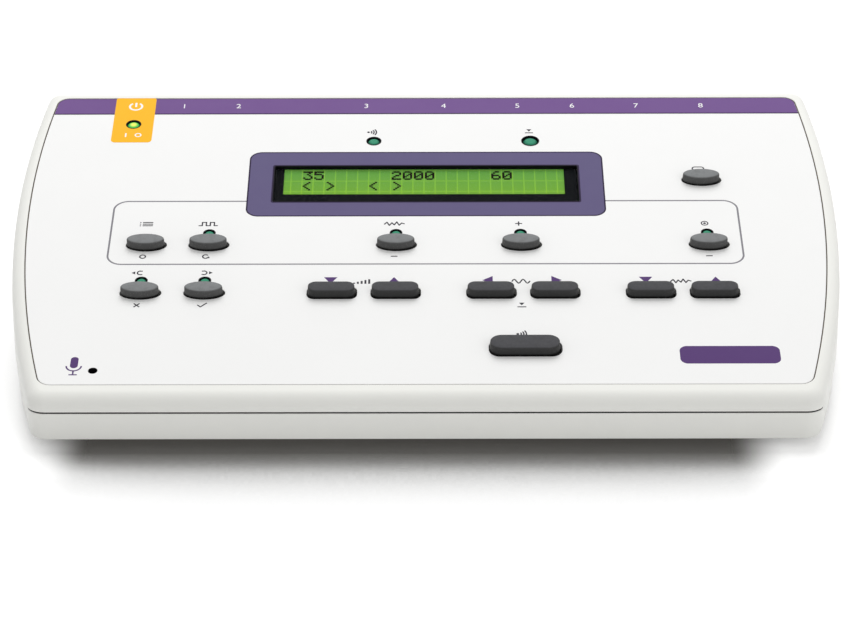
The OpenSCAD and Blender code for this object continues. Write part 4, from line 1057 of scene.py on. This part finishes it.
def sign_sine(bm, u, v, half=2.8):
    """One sine wave."""
    points = [(u + half * t / 8, v + math.sin(math.pi * t / 4)) for t in range(-8, 9)]
    stroke(bm, points, INK_LINE)


def sign_plus(bm, u, v):
    """Plus sign."""
    bar(bm, u, v, 2.3, INK_LINE, 0.15)
    bar(bm, u, v, INK_LINE, 2.3, 0.15)


def sign_ring(bm, u, v):
    """Ring with a dot in it."""
    arc(bm, u, v, 1.05, 0.4)
    disc(bm, u, v, INK_LINE)


def sign_cross(bm, u, v):
    """Slanting cross."""
    for turn in (45, -45):
        bar(bm, u, v, 2.6, INK_LINE, 0.15, turn)


def sign_tick(bm, u, v):
    """Tick."""
    stroke(bm, [(u - 1.3, v), (u - 0.4, v - 0.9), (u + 1.4, v + 1.0)], INK_LINE)


def sign_loop(bm, u, v):
    """Open circle that ends in an arrow."""
    arc(bm, u, v, 0.95, INK_LINE, 40, 280)
    triangle(bm, u + 0.95, v - 0.35, 1.1, 0.9, -20)


def sign_ear(bm, u, v, side):
    """Half circle of an ear, with an arrow from its side."""
    arc(bm, u, v, 1.0, INK_LINE, 90 if side < 0 else -90, 180)
    bar(bm, u - side * 0.2, v + 0.9, 0.9, INK_LINE, 0.12)
    bar(bm, u - side * 0.2, v - 0.9, 0.9, INK_LINE, 0.12)
    triangle(bm, u + side * 2.3, v, 1.5, 1.2, -90 * side)


def sign_sound(bm, u, v):
    """Dot that sends out three waves."""
    disc(bm, u - 1.6, v, INK_LINE)
    for radius in (1.1, 1.9, 2.7):
        arc(bm, u - 1.6, v, radius, INK_LINE, -38, 76)


def sign_speech(bm, u, v):
    """Speech balloon."""
    arc(bm, u - 1.0, v + 0.2, 0.9, INK_LINE, 90, 180)
    arc(bm, u + 1.0, v + 0.2, 0.9, INK_LINE, -90, 180)
    bar(bm, u, v + 1.1, 2.2, INK_LINE)
    bar(bm, u, v - 0.7, 2.2, INK_LINE)
    triangle(bm, u - 0.7, v - 1.15, 0.8, 0.8, 180)


def sign_press(bm, u, v):
    """Arrow that presses on a bar."""
    bar(bm, u, v - 0.9, 2.8, INK_LINE, 0.15)
    triangle(bm, u, v + 0.55, 1.7, 1.3, 180)


UPPER_SIGN_V, LOWER_SIGN_V = 89.2, 71.6
PICTOGRAMS = (
    (sign_list, -91.3, UPPER_SIGN_V), (sign_square_wave, -71.0, UPPER_SIGN_V),
    (sign_zigzag, -10.3, UPPER_SIGN_V), (sign_plus, 30.3, UPPER_SIGN_V),
    (sign_ring, 91.0, UPPER_SIGN_V), (arc, -91.2, LOWER_SIGN_V, 0.9, INK_LINE),
    (sign_loop, -70.9, LOWER_SIGN_V), (bar, -10.2, LOWER_SIGN_V, 2.2, INK_LINE, 0.15),
    (bar, 91.3, LOWER_SIGN_V, 2.2, INK_LINE, 0.15), (sign_ear, -91.2, 63.0, -1),
    (sign_ear, -71.0, 63.0, 1), (sign_cross, -91.2, 46.2), (sign_tick, -70.6, 46.2),
    (sign_rising_bars, -20.4, 58.3), (sign_sine, 30.3, 58.3), (sign_zigzag, 81.2, 58.3),
    (sign_press, 30.3, 46.0), (sign_sound, 30.3, 31.4), (sign_sound, -18.0, 141.6),
    (sign_press, 35.0, 142.0), (sign_speech, 91.0, 119.8))


def grey_signs():
    """All pictograms, each at its place beside a key or a lamp."""
    bm = bmesh.new()
    for draw, u, v, *sizes in PICTOGRAMS:
        draw(bm, u, v, *sizes)
    return bm


lay_ink(grey_signs(), "pictograms_print", "grey", 0.0)

# %% [markdown]
# ## Signs on the back
# The same numbers stand on the rear wall, each above its socket, and the rocker has a stroke
# for on and a ring for off. Seen from behind, x runs the other way, so the drawing is laid on
# a plane of its own whose x axis points to the left of the instrument.

# %% Numbers of the sockets and marks of the rocker
FACING_REAR = Matrix(((-1, 0, 0, 0), (0, 0, 1, 0), (0, 1, 0, 0), (0, 0, 0, 1)))
REAR = Matrix.Translation((0, REAR_Y, 0)) @ FACING_REAR
ROCKER_AXLE = (-0.1, REAR_Y - 0.002, 0.032)
ROCKER_REST, ROCKER_SLOPE = math.radians(-7), math.atan2(1.0, 6.2)
ROCKER_OUT, ROCKER_UP = 3.7 * MM, 3.1 * MM


def rear_numbers():
    """Number of each socket, a little above it."""
    bm = bmesh.new()
    for number, (low, high) in enumerate(PORTS, start=1):
        add_number(bm, str(number), -(low.x + high.x) / 2 / MM, high.z / MM + 3.4, 3.0)
    return bm


def rocker_place(side):
    """Plane on the upper (1) or the lower (-1) half of the rocker's face, as it rests."""
    tilt = Matrix.Rotation(-side * ROCKER_SLOPE, 4, "X")
    axle = Matrix.Translation(ROCKER_AXLE) @ Matrix.Rotation(ROCKER_REST, 4, "X")
    middle = Matrix.Translation((0, ROCKER_OUT, side * ROCKER_UP))
    return axle @ middle @ tilt @ FACING_REAR


lay_ink(rear_numbers(), "rear_numbers_print", "grey", 0.0, place=REAR)
lay_ink(single_bar(0, 0, 0.6, 3.4, 0.2), "rocker_on_mark", "white", 0.0, place=rocker_place(1),
        body="power_rocker")
off_mark = bmesh.new()
arc(off_mark, 0, 0, 1.5, 0.55)
lay_ink(off_mark, "rocker_off_mark", "white", 0.0, place=rocker_place(-1), body="power_rocker")

# %% [markdown]
# ## Keys
# A key is one rubber moulding: a stem on the switch, a flange that holds it under the face,
# and a cap that stands out of the hole. The cap leans in a little, its edge is rounded, and
# its top is very slightly crowned so that it catches the light unevenly.

# %% One key
KEY_RISE, FLANGE_LOW, FLANGE_HIGH, FLANGE = 2.8, -3.5, -2.5, 1.3
KEY_DRAFT, KEY_EDGE, CROWN, STEM_R, STEM_LOW = 0.15, 0.5, 0.1, 1.5, -7.9
CROWN_STEPS = ((0.45, 0.05), (0.5, 0.035), (0.5, 0.015))


def key_form(width, length, corner):
    """Flange, cap with a rounded edge and a crowned top, and stem below."""
    bm = bmesh.new()
    rounded = None if corner is None else corner + FLANGE
    face = outline(bm, width + 2 * FLANGE, length + 2 * FLANGE, rounded, 64)
    face = step(bm, face, FLANGE_HIGH - FLANGE_LOW)
    face = step(bm, face, 0.0, -FLANGE)
    face = step(bm, face, -FLANGE_HIGH)
    face = step(bm, face, KEY_RISE - CROWN, -KEY_DRAFT)
    round_over(bm, face.edges, KEY_EDGE, 5)
    crown = max(bm.faces, key=lambda item: sum(v.co.z for v in item.verts) / len(item.verts))
    for inset, rise in CROWN_STEPS:
        crown = step(bm, crown, rise, -inset)
    bmesh.ops.translate(bm, verts=bm.verts, vec=(0, 0, FLANGE_LOW * MM))
    middle = (0, 0, (FLANGE_LOW + STEM_LOW) / 2 * MM)
    add_rod(bm, middle, STEM_R * MM, (FLANGE_LOW - STEM_LOW) * MM, 24)
    return bm


for name, ((width, length, corner), number, row) in KEYS.items():
    place = FACE @ Matrix.Translation((column(number) * MM, row * MM, 0))
    form = key_form(width, length, corner)
    bmesh.ops.recalc_face_normals(form, faces=form.faces)
    cap = new_object(form, name + "_key_cap", place)
    rubber, slot = (key_grey, "key_grey") if corner is None else (key_black, "key_black")
    dress(cap, rubber, name + "_key", [name + "_key"], 50)

# %% [markdown]
# ## Lamps
# The lamps are light pipes of green plastic whose domes lie just under the face. Only the
# power lamp is lit: it glows yellow in the middle and green towards its edge, so its colour
# is a ramp over the distance from its own axis.

# %% Glassy green, and the glow
def lamp_plastic():
    """Deep green plastic, with painted shade that darkens its dome towards the rim."""
    material = finish("lamp green", (42, 138, 106), (50, 146, 112), 0.3, cell=0.4, grain=0.03,
                      patch=3.0, rub=0.03, Specular_IOR_Level=0.25)
    tree = material.node_tree
    shader = tree.nodes["Principled BSDF"]
    core = shader.inputs["Base Color"].links[0].from_socket
    # Painted shade: the dome darkens towards its rim, where it leans away from straight out of the
    # face.
    rim_shade_green = blend_colours(tree, squareness(tree, 2.2), paint(10, 52, 44), core)
    tree.links.new(rim_shade_green, shader.inputs["Base Color"])
    return material


lamp_green = lamp_plastic()


def lit_lamp():
    """Lamp plastic that glows from yellow in its middle to green at its edge."""
    material = finish("lamp lit", (40, 110, 50), (50, 120, 50), 0.3, cell=0.4, grain=0.03,
                      rub=0.03, Specular_IOR_Level=0.25, Emission_Strength=0.9)
    tree, shader, position = parts_of(material)
    away = add_node(tree, "VectorMath", {
        0: use(tree, FACE_PLACE, position)["Place"], 1: (POWER_LAMP[0], POWER_LAMP[1], -0.3),
    }, operation="DISTANCE")
    share = sums(tree, "MULTIPLY", away.outputs["Value"], 0.48)
    glow = ramp(tree, share, (
        (0.34, paint(250, 240, 96)), (0.66, paint(92, 190, 74)), (0.95, paint(38, 120, 62))))
    tree.links.new(glow, shader.inputs["Emission Color"])
    return material


lamp_lit = lit_lamp()

# %% Domes
LAMP_GAP, LAMP_SINK, LAMP_L = 0.12, 0.14, 5.0


def lamp_form(radius):
    """Round pipe with a domed end just under the face, its foot at the bottom."""
    bm = bmesh.new()
    face = outline(bm, 2 * radius, 2 * radius, None, 40)
    face = step(bm, face, LAMP_L)
    round_over(bm, face.edges, radius * 0.6, 9)
    bmesh.ops.translate(bm, verts=bm.verts, vec=(0, 0, -(LAMP_SINK + LAMP_L) * MM))
    return bm


def lamp_group(name, places, material, node):
    """All lamps of one kind as one piece."""
    whole = bmesh.new()
    for u, v, radius in places:
        form = lamp_form(radius - LAMP_GAP)
        bmesh.ops.translate(form, verts=form.verts, vec=(u * MM, v * MM, 0))
        mesh = bpy.data.meshes.new("lamp")
        form.to_mesh(mesh)
        form.free()
        whole.from_mesh(mesh)
    return dress(new_object(closed(whole), name, FACE), material, CASE, [node], 60)


lamp_group("green_lamps", LAMPS, lamp_green, "indicator_leds")
lamp_group("power_lamp", [POWER_LAMP], lamp_lit, "power_led")

# %% [markdown]
# ## Display
# The display is a liquid crystal module: a black metal frame, green glass lit from behind and
# characters made of small square dots. The 48 character cells show faintly even where nothing
# is written, so the glass gets a brick pattern with no offset between its rows.

# %% Green glass with its cells
LCD_U, LCD_V = -0.65, 115.0
CELL_W, CELL_H, COLUMNS = 3.7, 5.95, 24


def display_green():
    """Back-lit green with painted shade that darkens it towards the top, and slightly darker
    character cells.
    """
    material = finish("display green", (118, 170, 62), (120, 172, 64), 0.4, cell=0.2, grain=0.02,
                      Specular_IOR_Level=0.08, Emission_Strength=0.2)
    tree, shader, position = parts_of(material)
    place = use(tree, FACE_PLACE, position)["Place"]
    corner = (-LCD_U + COLUMNS / 2 * CELL_W, -LCD_V + CELL_H, 0)
    shift = add_node(tree, "Mapping", {"Vector": place, "Location": corner})
    cells = add_node(tree, "TexBrick", {
        "Vector": shift.outputs["Vector"], "Scale": 1.0, "Brick Width": CELL_W,
        "Row Height": CELL_H, "Mortar Size": 0.26, "Mortar Smooth": 0.4,
        "Color1": paint(92, 152, 58), "Color2": paint(98, 158, 60),
        "Mortar": paint(144, 200, 62)}, offset=0.0, squash=1.0)
    # Painted shade: the green darkens towards the top, as under the window's upper edge.
    height = add_node(tree, "SeparateXYZ", {"Vector": place}).outputs["Y"]
    share = sums(tree, "MULTIPLY", sums(tree, "SUBTRACT", height, LCD_V - 7.9), 1 / 16.0)
    painted_top_shade = ramp(tree, share, ((0.0, paint(138, 192, 54)), (1.0, paint(94, 164, 84))))
    glow = blend_colours(tree, 0.5, cells.outputs["Color"], painted_top_shade)
    for label in ("Emission Color", "Base Color"):
        tree.links.new(glow, shader.inputs[label])
    return material


# %% Characters made of dots
DOT, TALLER, DOT_FACE = 0.62, 0.06, 0.76
GLYPHS = {
    "0": ("01110", "10001", "10011", "10101", "11001", "10001", "01110"),
    "2": ("01110", "10001", "00001", "00110", "01000", "10000", "11111"),
    "3": ("11111", "00010", "00100", "00010", "00001", "10001", "01110"),
    "5": ("11111", "10000", "11110", "00001", "00001", "10001", "01110"),
    "6": ("00110", "01000", "10000", "11110", "10001", "10001", "01110"),
    "<": ("00010", "00100", "01000", "10000", "01000", "00100", "00010"),
    ">": ("01000", "00100", "00010", "00001", "00010", "00100", "01000"),
}
READOUT = (" 35      2000     60    ", " < >   < >              ")


def readout_dots():
    """Flat squares of all the dark dots, in the frame of the face."""
    bm = bmesh.new()
    for line, text in enumerate(READOUT):
        for cell, letter in enumerate(text):
            if letter not in GLYPHS:
                continue
            left = LCD_U + (cell - COLUMNS / 2 + 0.5) * CELL_W - 2 * DOT
            top = LCD_V + (0.5 - line) * CELL_H + 3 * DOT + 0.3
            for row, dots in enumerate(GLYPHS[letter]):
                v = top - row * (DOT + TALLER)
                for place, dot in enumerate(dots):
                    if dot == "1":
                        bar(bm, left + place * DOT, v, DOT_FACE, DOT_FACE + TALLER)
    return bm


INKS["dots"] = finish("display dots", (26, 20, 12), (32, 24, 14), 0.5, cell=0.2, grain=0.02,
                      Specular_IOR_Level=0.05)
LCD_GLASS_DEPTH = 1.45
dots = readout_dots()
print("display dots:", len(dots.faces))
dot_layer = lay_ink(dots, "display_dots", "dots", -(LCD_GLASS_DEPTH + SHEET_TOP / MM) + 0.01)

# %% [markdown]
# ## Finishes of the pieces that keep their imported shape
# Sockets, boards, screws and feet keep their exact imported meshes. They get finishes of
# their own: black metal frame, clear pane, moulded socket plastic, lacquered board with
# copper tracks, turned steel and matt rubber.

# %% Metals, clear pane and boards
METAL_LINES = 2200.0


def turned_metal(name, colour, other, roughness, axis_scale=(1, 1, 1)):
    """Metal with the fine lines that a lathe or a press leaves."""
    material = finish(name, colour, other, roughness, cell=0.3, grain=0.05, patch=4.0, rub=0.2,
                      Metallic=1.0)
    tree = material.node_tree
    position = tree.nodes["Texture Coordinate"].outputs["Object"]
    stretch = add_node(tree, "Mapping", {"Vector": position, "Scale": axis_scale})
    lines = noise(tree, stretch.outputs["Vector"], METAL_LINES)
    tree.links.new(lines, tree.nodes["Bump"].inputs["Height"])
    return material


def clear_pane():
    """Thin clear plastic: mostly see-through, with a plain gloss on top."""
    return finish("clear pane", (8, 10, 11), (12, 14, 15), 0.06, grain=0.0, rub=0.02,
                  Specular_IOR_Level=0.12, Alpha=0.07)


def board_lacquer():
    """Green solder lacquer with paler tracks under it."""
    material = finish("board lacquer", (24, 92, 56), (30, 104, 62), 0.35, cell=0.3, grain=0.05)
    tree, shader, position = parts_of(material)
    tracks = add_node(tree, "TexBrick", {
        "Vector": position, "Scale": 1 / MM, "Brick Width": 9.0, "Row Height": 2.2,
        "Mortar Size": 0.28, "Color1": paint(24, 92, 56), "Color2": paint(28, 98, 60),
        "Mortar": paint(58, 128, 78)}, offset=0.37)
    tree.links.new(tracks.outputs["Color"], shader.inputs["Base Color"])
    return material


def capsule_finish():
    """Grey metal can whose front, towards the hole, is covered with black felt."""
    material = turned_metal("capsule metal", (110, 110, 110), (92, 92, 94), 0.4)
    tree = material.node_tree
    shader = tree.nodes["Principled BSDF"]
    front = squareness(tree, 4.0)
    metal = shader.inputs["Base Color"].links[0].from_socket
    felted = blend_colours(tree, front, metal, paint(18, 18, 16))
    tree.links.new(felted, shader.inputs["Base Color"])
    tree.links.new(sums(tree, "SUBTRACT", 1.0, front), shader.inputs["Metallic"])
    return material


steel = turned_metal("screw steel", (176, 178, 182), (150, 152, 156), 0.28)
shield_steel = turned_metal("socket shield", (190, 191, 194), (168, 170, 174), 0.24, (1, 0.05, 1))
capsule_metal = capsule_finish()
frame_black = finish("display frame", (10, 13, 16), (15, 17, 20), 0.5, cell=0.2, grain=0.08,
                     Specular_IOR_Level=0.03)
socket_black = finish("socket plastic", (30, 30, 32), (40, 40, 42), 0.45, cell=0.3, grain=0.2)
soft_rubber = finish("soft rubber", (34, 34, 35), (48, 48, 48), 0.75, cell=0.35, grain=0.35,
                     patch=8.0)
chip_black = finish("chip plastic", (26, 26, 28), (36, 36, 38), 0.6, cell=0.2, grain=0.25)
sleeve = finish("capacitor sleeve", (26, 40, 90), (34, 48, 104), 0.32, cell=0.3, grain=0.05)
ribbon = finish("ribbon", (150, 150, 152), (170, 170, 172), 0.5, cell=0.6, grain=0.2)
insulation = finish("lead insulation", (150, 30, 28), (170, 40, 34), 0.45, cell=0.3, grain=0.1)
backlight = finish("backlight", (226, 240, 200), (232, 244, 210), 0.4, cell=0.3, grain=0.04)
rocker_black = finish("rocker plastic", (26, 26, 28), (34, 34, 36), 0.32, cell=0.25, grain=0.12)
tongue_white = finish("socket insert", (232, 232, 228), (222, 222, 216), 0.45, grain=0.1)
pane, lacquer, glass_green = clear_pane(), board_lacquer(), display_green()

# %% [markdown]
# The nuts round the jack sockets are moulded plastic in the colours of their leads. A profile
# is spun round the socket's axis, and every other column of its outer points is drawn in, which
# gives the fluted rim that fingers need.

# %% Nuts of the jack sockets
NUT_R, BORE_R, NUT_H, CHAMFER = 7.2, 4.72, 2.7, 0.6
NUT_PROFILE = ((BORE_R, 0.0), (NUT_R - 0.15, 0.0), (NUT_R, 0.15), (NUT_R, NUT_H - CHAMFER),
               (NUT_R - CHAMFER, NUT_H), (5.2, NUT_H), (BORE_R, 2.4))
FLUTES, FLUTED_FROM, FLUTE_R = 36, 7.0, 6.95


def nut_form():
    """Ring with a chamfered front and a fluted rim, its foot at the bottom."""
    bm = bmesh.new()
    verts = [bm.verts.new((radius * MM, 0, height * MM)) for radius, height in NUT_PROFILE]
    edges = [bm.edges.new((verts[i - 1], verts[i])) for i in range(len(verts))]
    bmesh.ops.spin(
        bm, geom=verts + edges, cent=(0, 0, 0), axis=(0, 0, 1), angle=2 * math.pi,
        steps=2 * FLUTES, use_merge=True, use_duplicate=False)
    for vert in bm.verts:
        turn = math.atan2(vert.co.y, vert.co.x) * FLUTES / math.pi
        if vert.co.xy.length > FLUTED_FROM * MM and round(turn) % 2:
            vert.co.xy *= FLUTE_R / NUT_R
    return closed(bm)


NUTS = {
    "response_nut": ("nut_black", (30, 30, 32), (42, 42, 44)),
    "insert_nut": ("nut_yellow", (214, 176, 40), (224, 188, 60)),
    "bone_nut": ("nut_grey", (120, 122, 126), (134, 136, 140)),
    "left_nut": ("nut_blue", (36, 74, 160), (48, 86, 172)),
    "right_nut": ("nut_red", (176, 32, 34), (190, 44, 44)),
}

for node, (slot, colour, other) in NUTS.items():
    low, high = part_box(node)
    place = REAR @ Matrix.Translation((-(low.x + high.x) / 2, (low.z + high.z) / 2, 0))
    plastic = finish(node.replace("_", " "), colour, other, 0.38, cell=0.3, grain=0.15, patch=5.0)
    dress(new_object(nut_form(), node + "_ring", place), plastic, CASE, [node], 24)
print("nuts:", sorted(NUTS))

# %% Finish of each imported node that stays
KEPT = {
    "display_window": pane, "lcd_bezel": frame_black, "lcd_glass": glass_green,
    "lcd_backlight": backlight, "lcd_board": lacquer, "lcd_screws": steel, "key_board": lacquer,
    "key_board_screws": steel, "switch_bodies": socket_black, "led_spacers": socket_black,
    "microphone": capsule_metal, "microphone_boot": soft_rubber, "main_board": lacquer,
    "main_board_screws": steel, "main_board_chips": chip_black, "board_capacitors": sleeve,
    "header_sockets": socket_black, "board_link_cable": ribbon, "power_switch_body": socket_black,
    "power_rocker": rocker_black, "switch_leads": insulation, "power_socket": socket_black,
    "usb_socket": shield_steel, "usb_insert": tongue_white, "printer_socket": socket_black,
    "jack_bodies": socket_black, "case_screws": steel, "feet": soft_rubber,
}
for node, material in KEPT.items():
    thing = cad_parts[node]
    thing.data.materials.clear()
    thing.data.materials.append(material)
print("packed nodes that keep their shape:", len(KEPT))

# %% [markdown]
# ## Floor, light and camera
# The object stands on a white, slightly glossy table against white. The floor is lit like the
# object and keeps its real shadow, and for camera rays a painted shadow darkens it further in
# front of the object. For camera rays only, it also glows a little, which takes the clear part
# of it to white and leaves the light on the object as it is.

# %% White surroundings that only the camera and reflections see
# Settings of the painted floor shadow: the lean and reach of its occlusion, its curve, and its
# fade at both ends across.
SHADOW_LEAN, SHADOW_REACH = math.radians(70), 0.07
SHADOW_CURVE = (
    (0.5, 0.05), (0.58, 0.13), (0.65, 0.33), (0.7, 0.48), (0.74, 0.63), (0.8, 0.75),
    (0.88, 0.84), (0.97, 1.0))
SHADOW_ENDS, SHADOW_MIDDLE = (0.098, 0.116, 0.0, 1.0), -0.005
FLOOR_GLOW = 0.3


def white_rays(tree, strength):
    """Value that is the strength for camera, glossy and transmission rays and 0 for others."""
    path = tree.nodes.new("ShaderNodeLightPath")
    rays = sums(tree, "MAXIMUM", path.outputs["Is Camera Ray"], path.outputs["Is Glossy Ray"])
    rays = sums(tree, "MAXIMUM", rays, path.outputs["Is Transmission Ray"])
    return sums(tree, "MULTIPLY", rays, strength)


def smooth_range(tree, value, limits):
    """Smooth step of a value from one range to another."""
    inputs = dict(zip(("From Min", "From Max", "To Min", "To Max"), limits))
    inputs["Value"] = value
    node = add_node(tree, "MapRange", inputs, interpolation_type="SMOOTHSTEP")
    return node.outputs["Result"]


def curve(tree, value, points):
    """Value led through straight pieces between points."""
    return ramp(tree, value, [(place, (level, level, level, 1.0)) for place, level in points])


def lit_floor():
    """Pale table top with a painted shadow for camera rays, darkest where the object shuts off the
    light from behind it.
    """
    material = finish("table top", (240, 240, 240), (238, 238, 238), 0.12, cell=0.8, grain=0.01,
                      patch=200.0, rub=0.02)
    tree, shader, position = parts_of(material)
    # Painted shadow: an occlusion leaned towards the rear light, led through a curve and faded out
    # at both ends, darkens the colour and glow that the camera sees.
    towards_light = add_node(tree, "CombineXYZ", {
        "X": 0.0, "Y": math.sin(SHADOW_LEAN), "Z": math.cos(SHADOW_LEAN)})
    open_sky = add_node(tree, "AmbientOcclusion", {
        "Distance": SHADOW_REACH, "Normal": towards_light.outputs["Vector"]}, samples=32)
    across = add_node(tree, "SeparateXYZ", {"Vector": position}).outputs["X"]
    sideways = sums(tree, "ABSOLUTE", sums(tree, "SUBTRACT", across, SHADOW_MIDDLE), 0.0)
    end = smooth_range(tree, sideways, SHADOW_ENDS)
    lit = curve(tree, open_sky.outputs["AO"], SHADOW_CURVE)
    lit = sums(tree, "ADD", lit, sums(tree, "MULTIPLY", end, sums(tree, "SUBTRACT", 1.0, lit)))
    camera = tree.nodes.new("ShaderNodeLightPath").outputs["Is Camera Ray"]
    shaded = sums(tree, "MULTIPLY", camera, sums(tree, "SUBTRACT", 1.0, lit))
    made = {
        "Base Color": blend_colours(tree, shaded, paint(240, 240, 240), paint(0, 0, 0)),
        "Emission Color": blend_colours(tree, lit, paint(90, 86, 80), paint(255, 255, 255)),
        "Emission Strength": white_rays(tree, FLOOR_GLOW),
    }
    for label, socket in made.items():
        tree.links.new(socket, shader.inputs[label])
    return material


def make_floor():
    """Large level sheet under the feet."""
    bm = bmesh.new()
    bmesh.ops.create_grid(bm, x_segments=4, y_segments=4, size=6.0)
    floor = new_object(bm, "table_top")
    floor.data.materials.append(lit_floor())


def make_world(light, seen):
    """World that lights the object at one strength and is seen at another."""
    world = bpy.data.worlds.new("studio")
    bpy.context.scene.world = world
    world.use_nodes = True
    tree = world.node_tree
    background = tree.nodes["Background"]
    background.inputs["Color"].default_value = (1, 1, 1, 1)
    extra = white_rays(tree, seen - light)
    tree.links.new(sums(tree, "ADD", extra, light), background.inputs["Strength"])


def make_lamp(name, power, size, place, target):
    """Soft square area lamp that looks at a target and shows in no reflection."""
    data = bpy.data.lights.new(name, "AREA")
    data.energy = power
    data.shape = "SQUARE"
    data.size = size
    lamp = bpy.data.objects.new(name, data)
    lamp.location = place
    lamp.rotation_euler = (Vector(target) - Vector(place)).to_track_quat("-Z", "Y").to_euler()
    lamp.visible_glossy = False
    bpy.context.scene.collection.objects.link(lamp)


make_floor()
make_world(0.55, 1.0)
make_lamp("rear softbox", 12.8, 0.9, (0.0, 0.7, 1.22), (0, 0, 0))
make_lamp("front fill", 2.6, 0.9, (0.85, -1.05, 0.6), (0, 0, 0.02))

# %% [markdown]
# The camera stands where the photographer's stood: nearly a metre in front of the middle of
# the instrument and about 39 centimetres above the table, looking down by 23 degrees.

# %% Camera
CAMERA_PLACE = Vector((0.002973, -0.89985, 0.388156))
YAW, PITCH, ROLL = (math.radians(angle) for angle in (-0.181, 22.936, -0.16))
LENS, SENSOR = 125.02, 36.0


def make_camera():
    """Camera from its place, its three angles and its lens."""
    forward = Vector((
        math.sin(YAW) * math.cos(PITCH), math.cos(YAW) * math.cos(PITCH), -math.sin(PITCH)))
    level = Vector((math.cos(YAW), -math.sin(YAW), 0))
    up = level.cross(forward)
    right = level * math.cos(ROLL) + up * math.sin(ROLL)
    top = up * math.cos(ROLL) - level * math.sin(ROLL)
    turned = Matrix((right, top, -forward)).transposed().to_4x4()
    data = bpy.data.cameras.new("camera")
    data.lens = LENS
    data.sensor_width = SENSOR
    data.sensor_fit = "HORIZONTAL"
    camera = bpy.data.objects.new("camera", data)
    camera.matrix_world = Matrix.Translation(CAMERA_PLACE) @ turned
    bpy.context.scene.collection.objects.link(camera)
    bpy.context.scene.camera = camera


make_camera()
bpy.context.scene.view_settings.view_transform = "Standard"
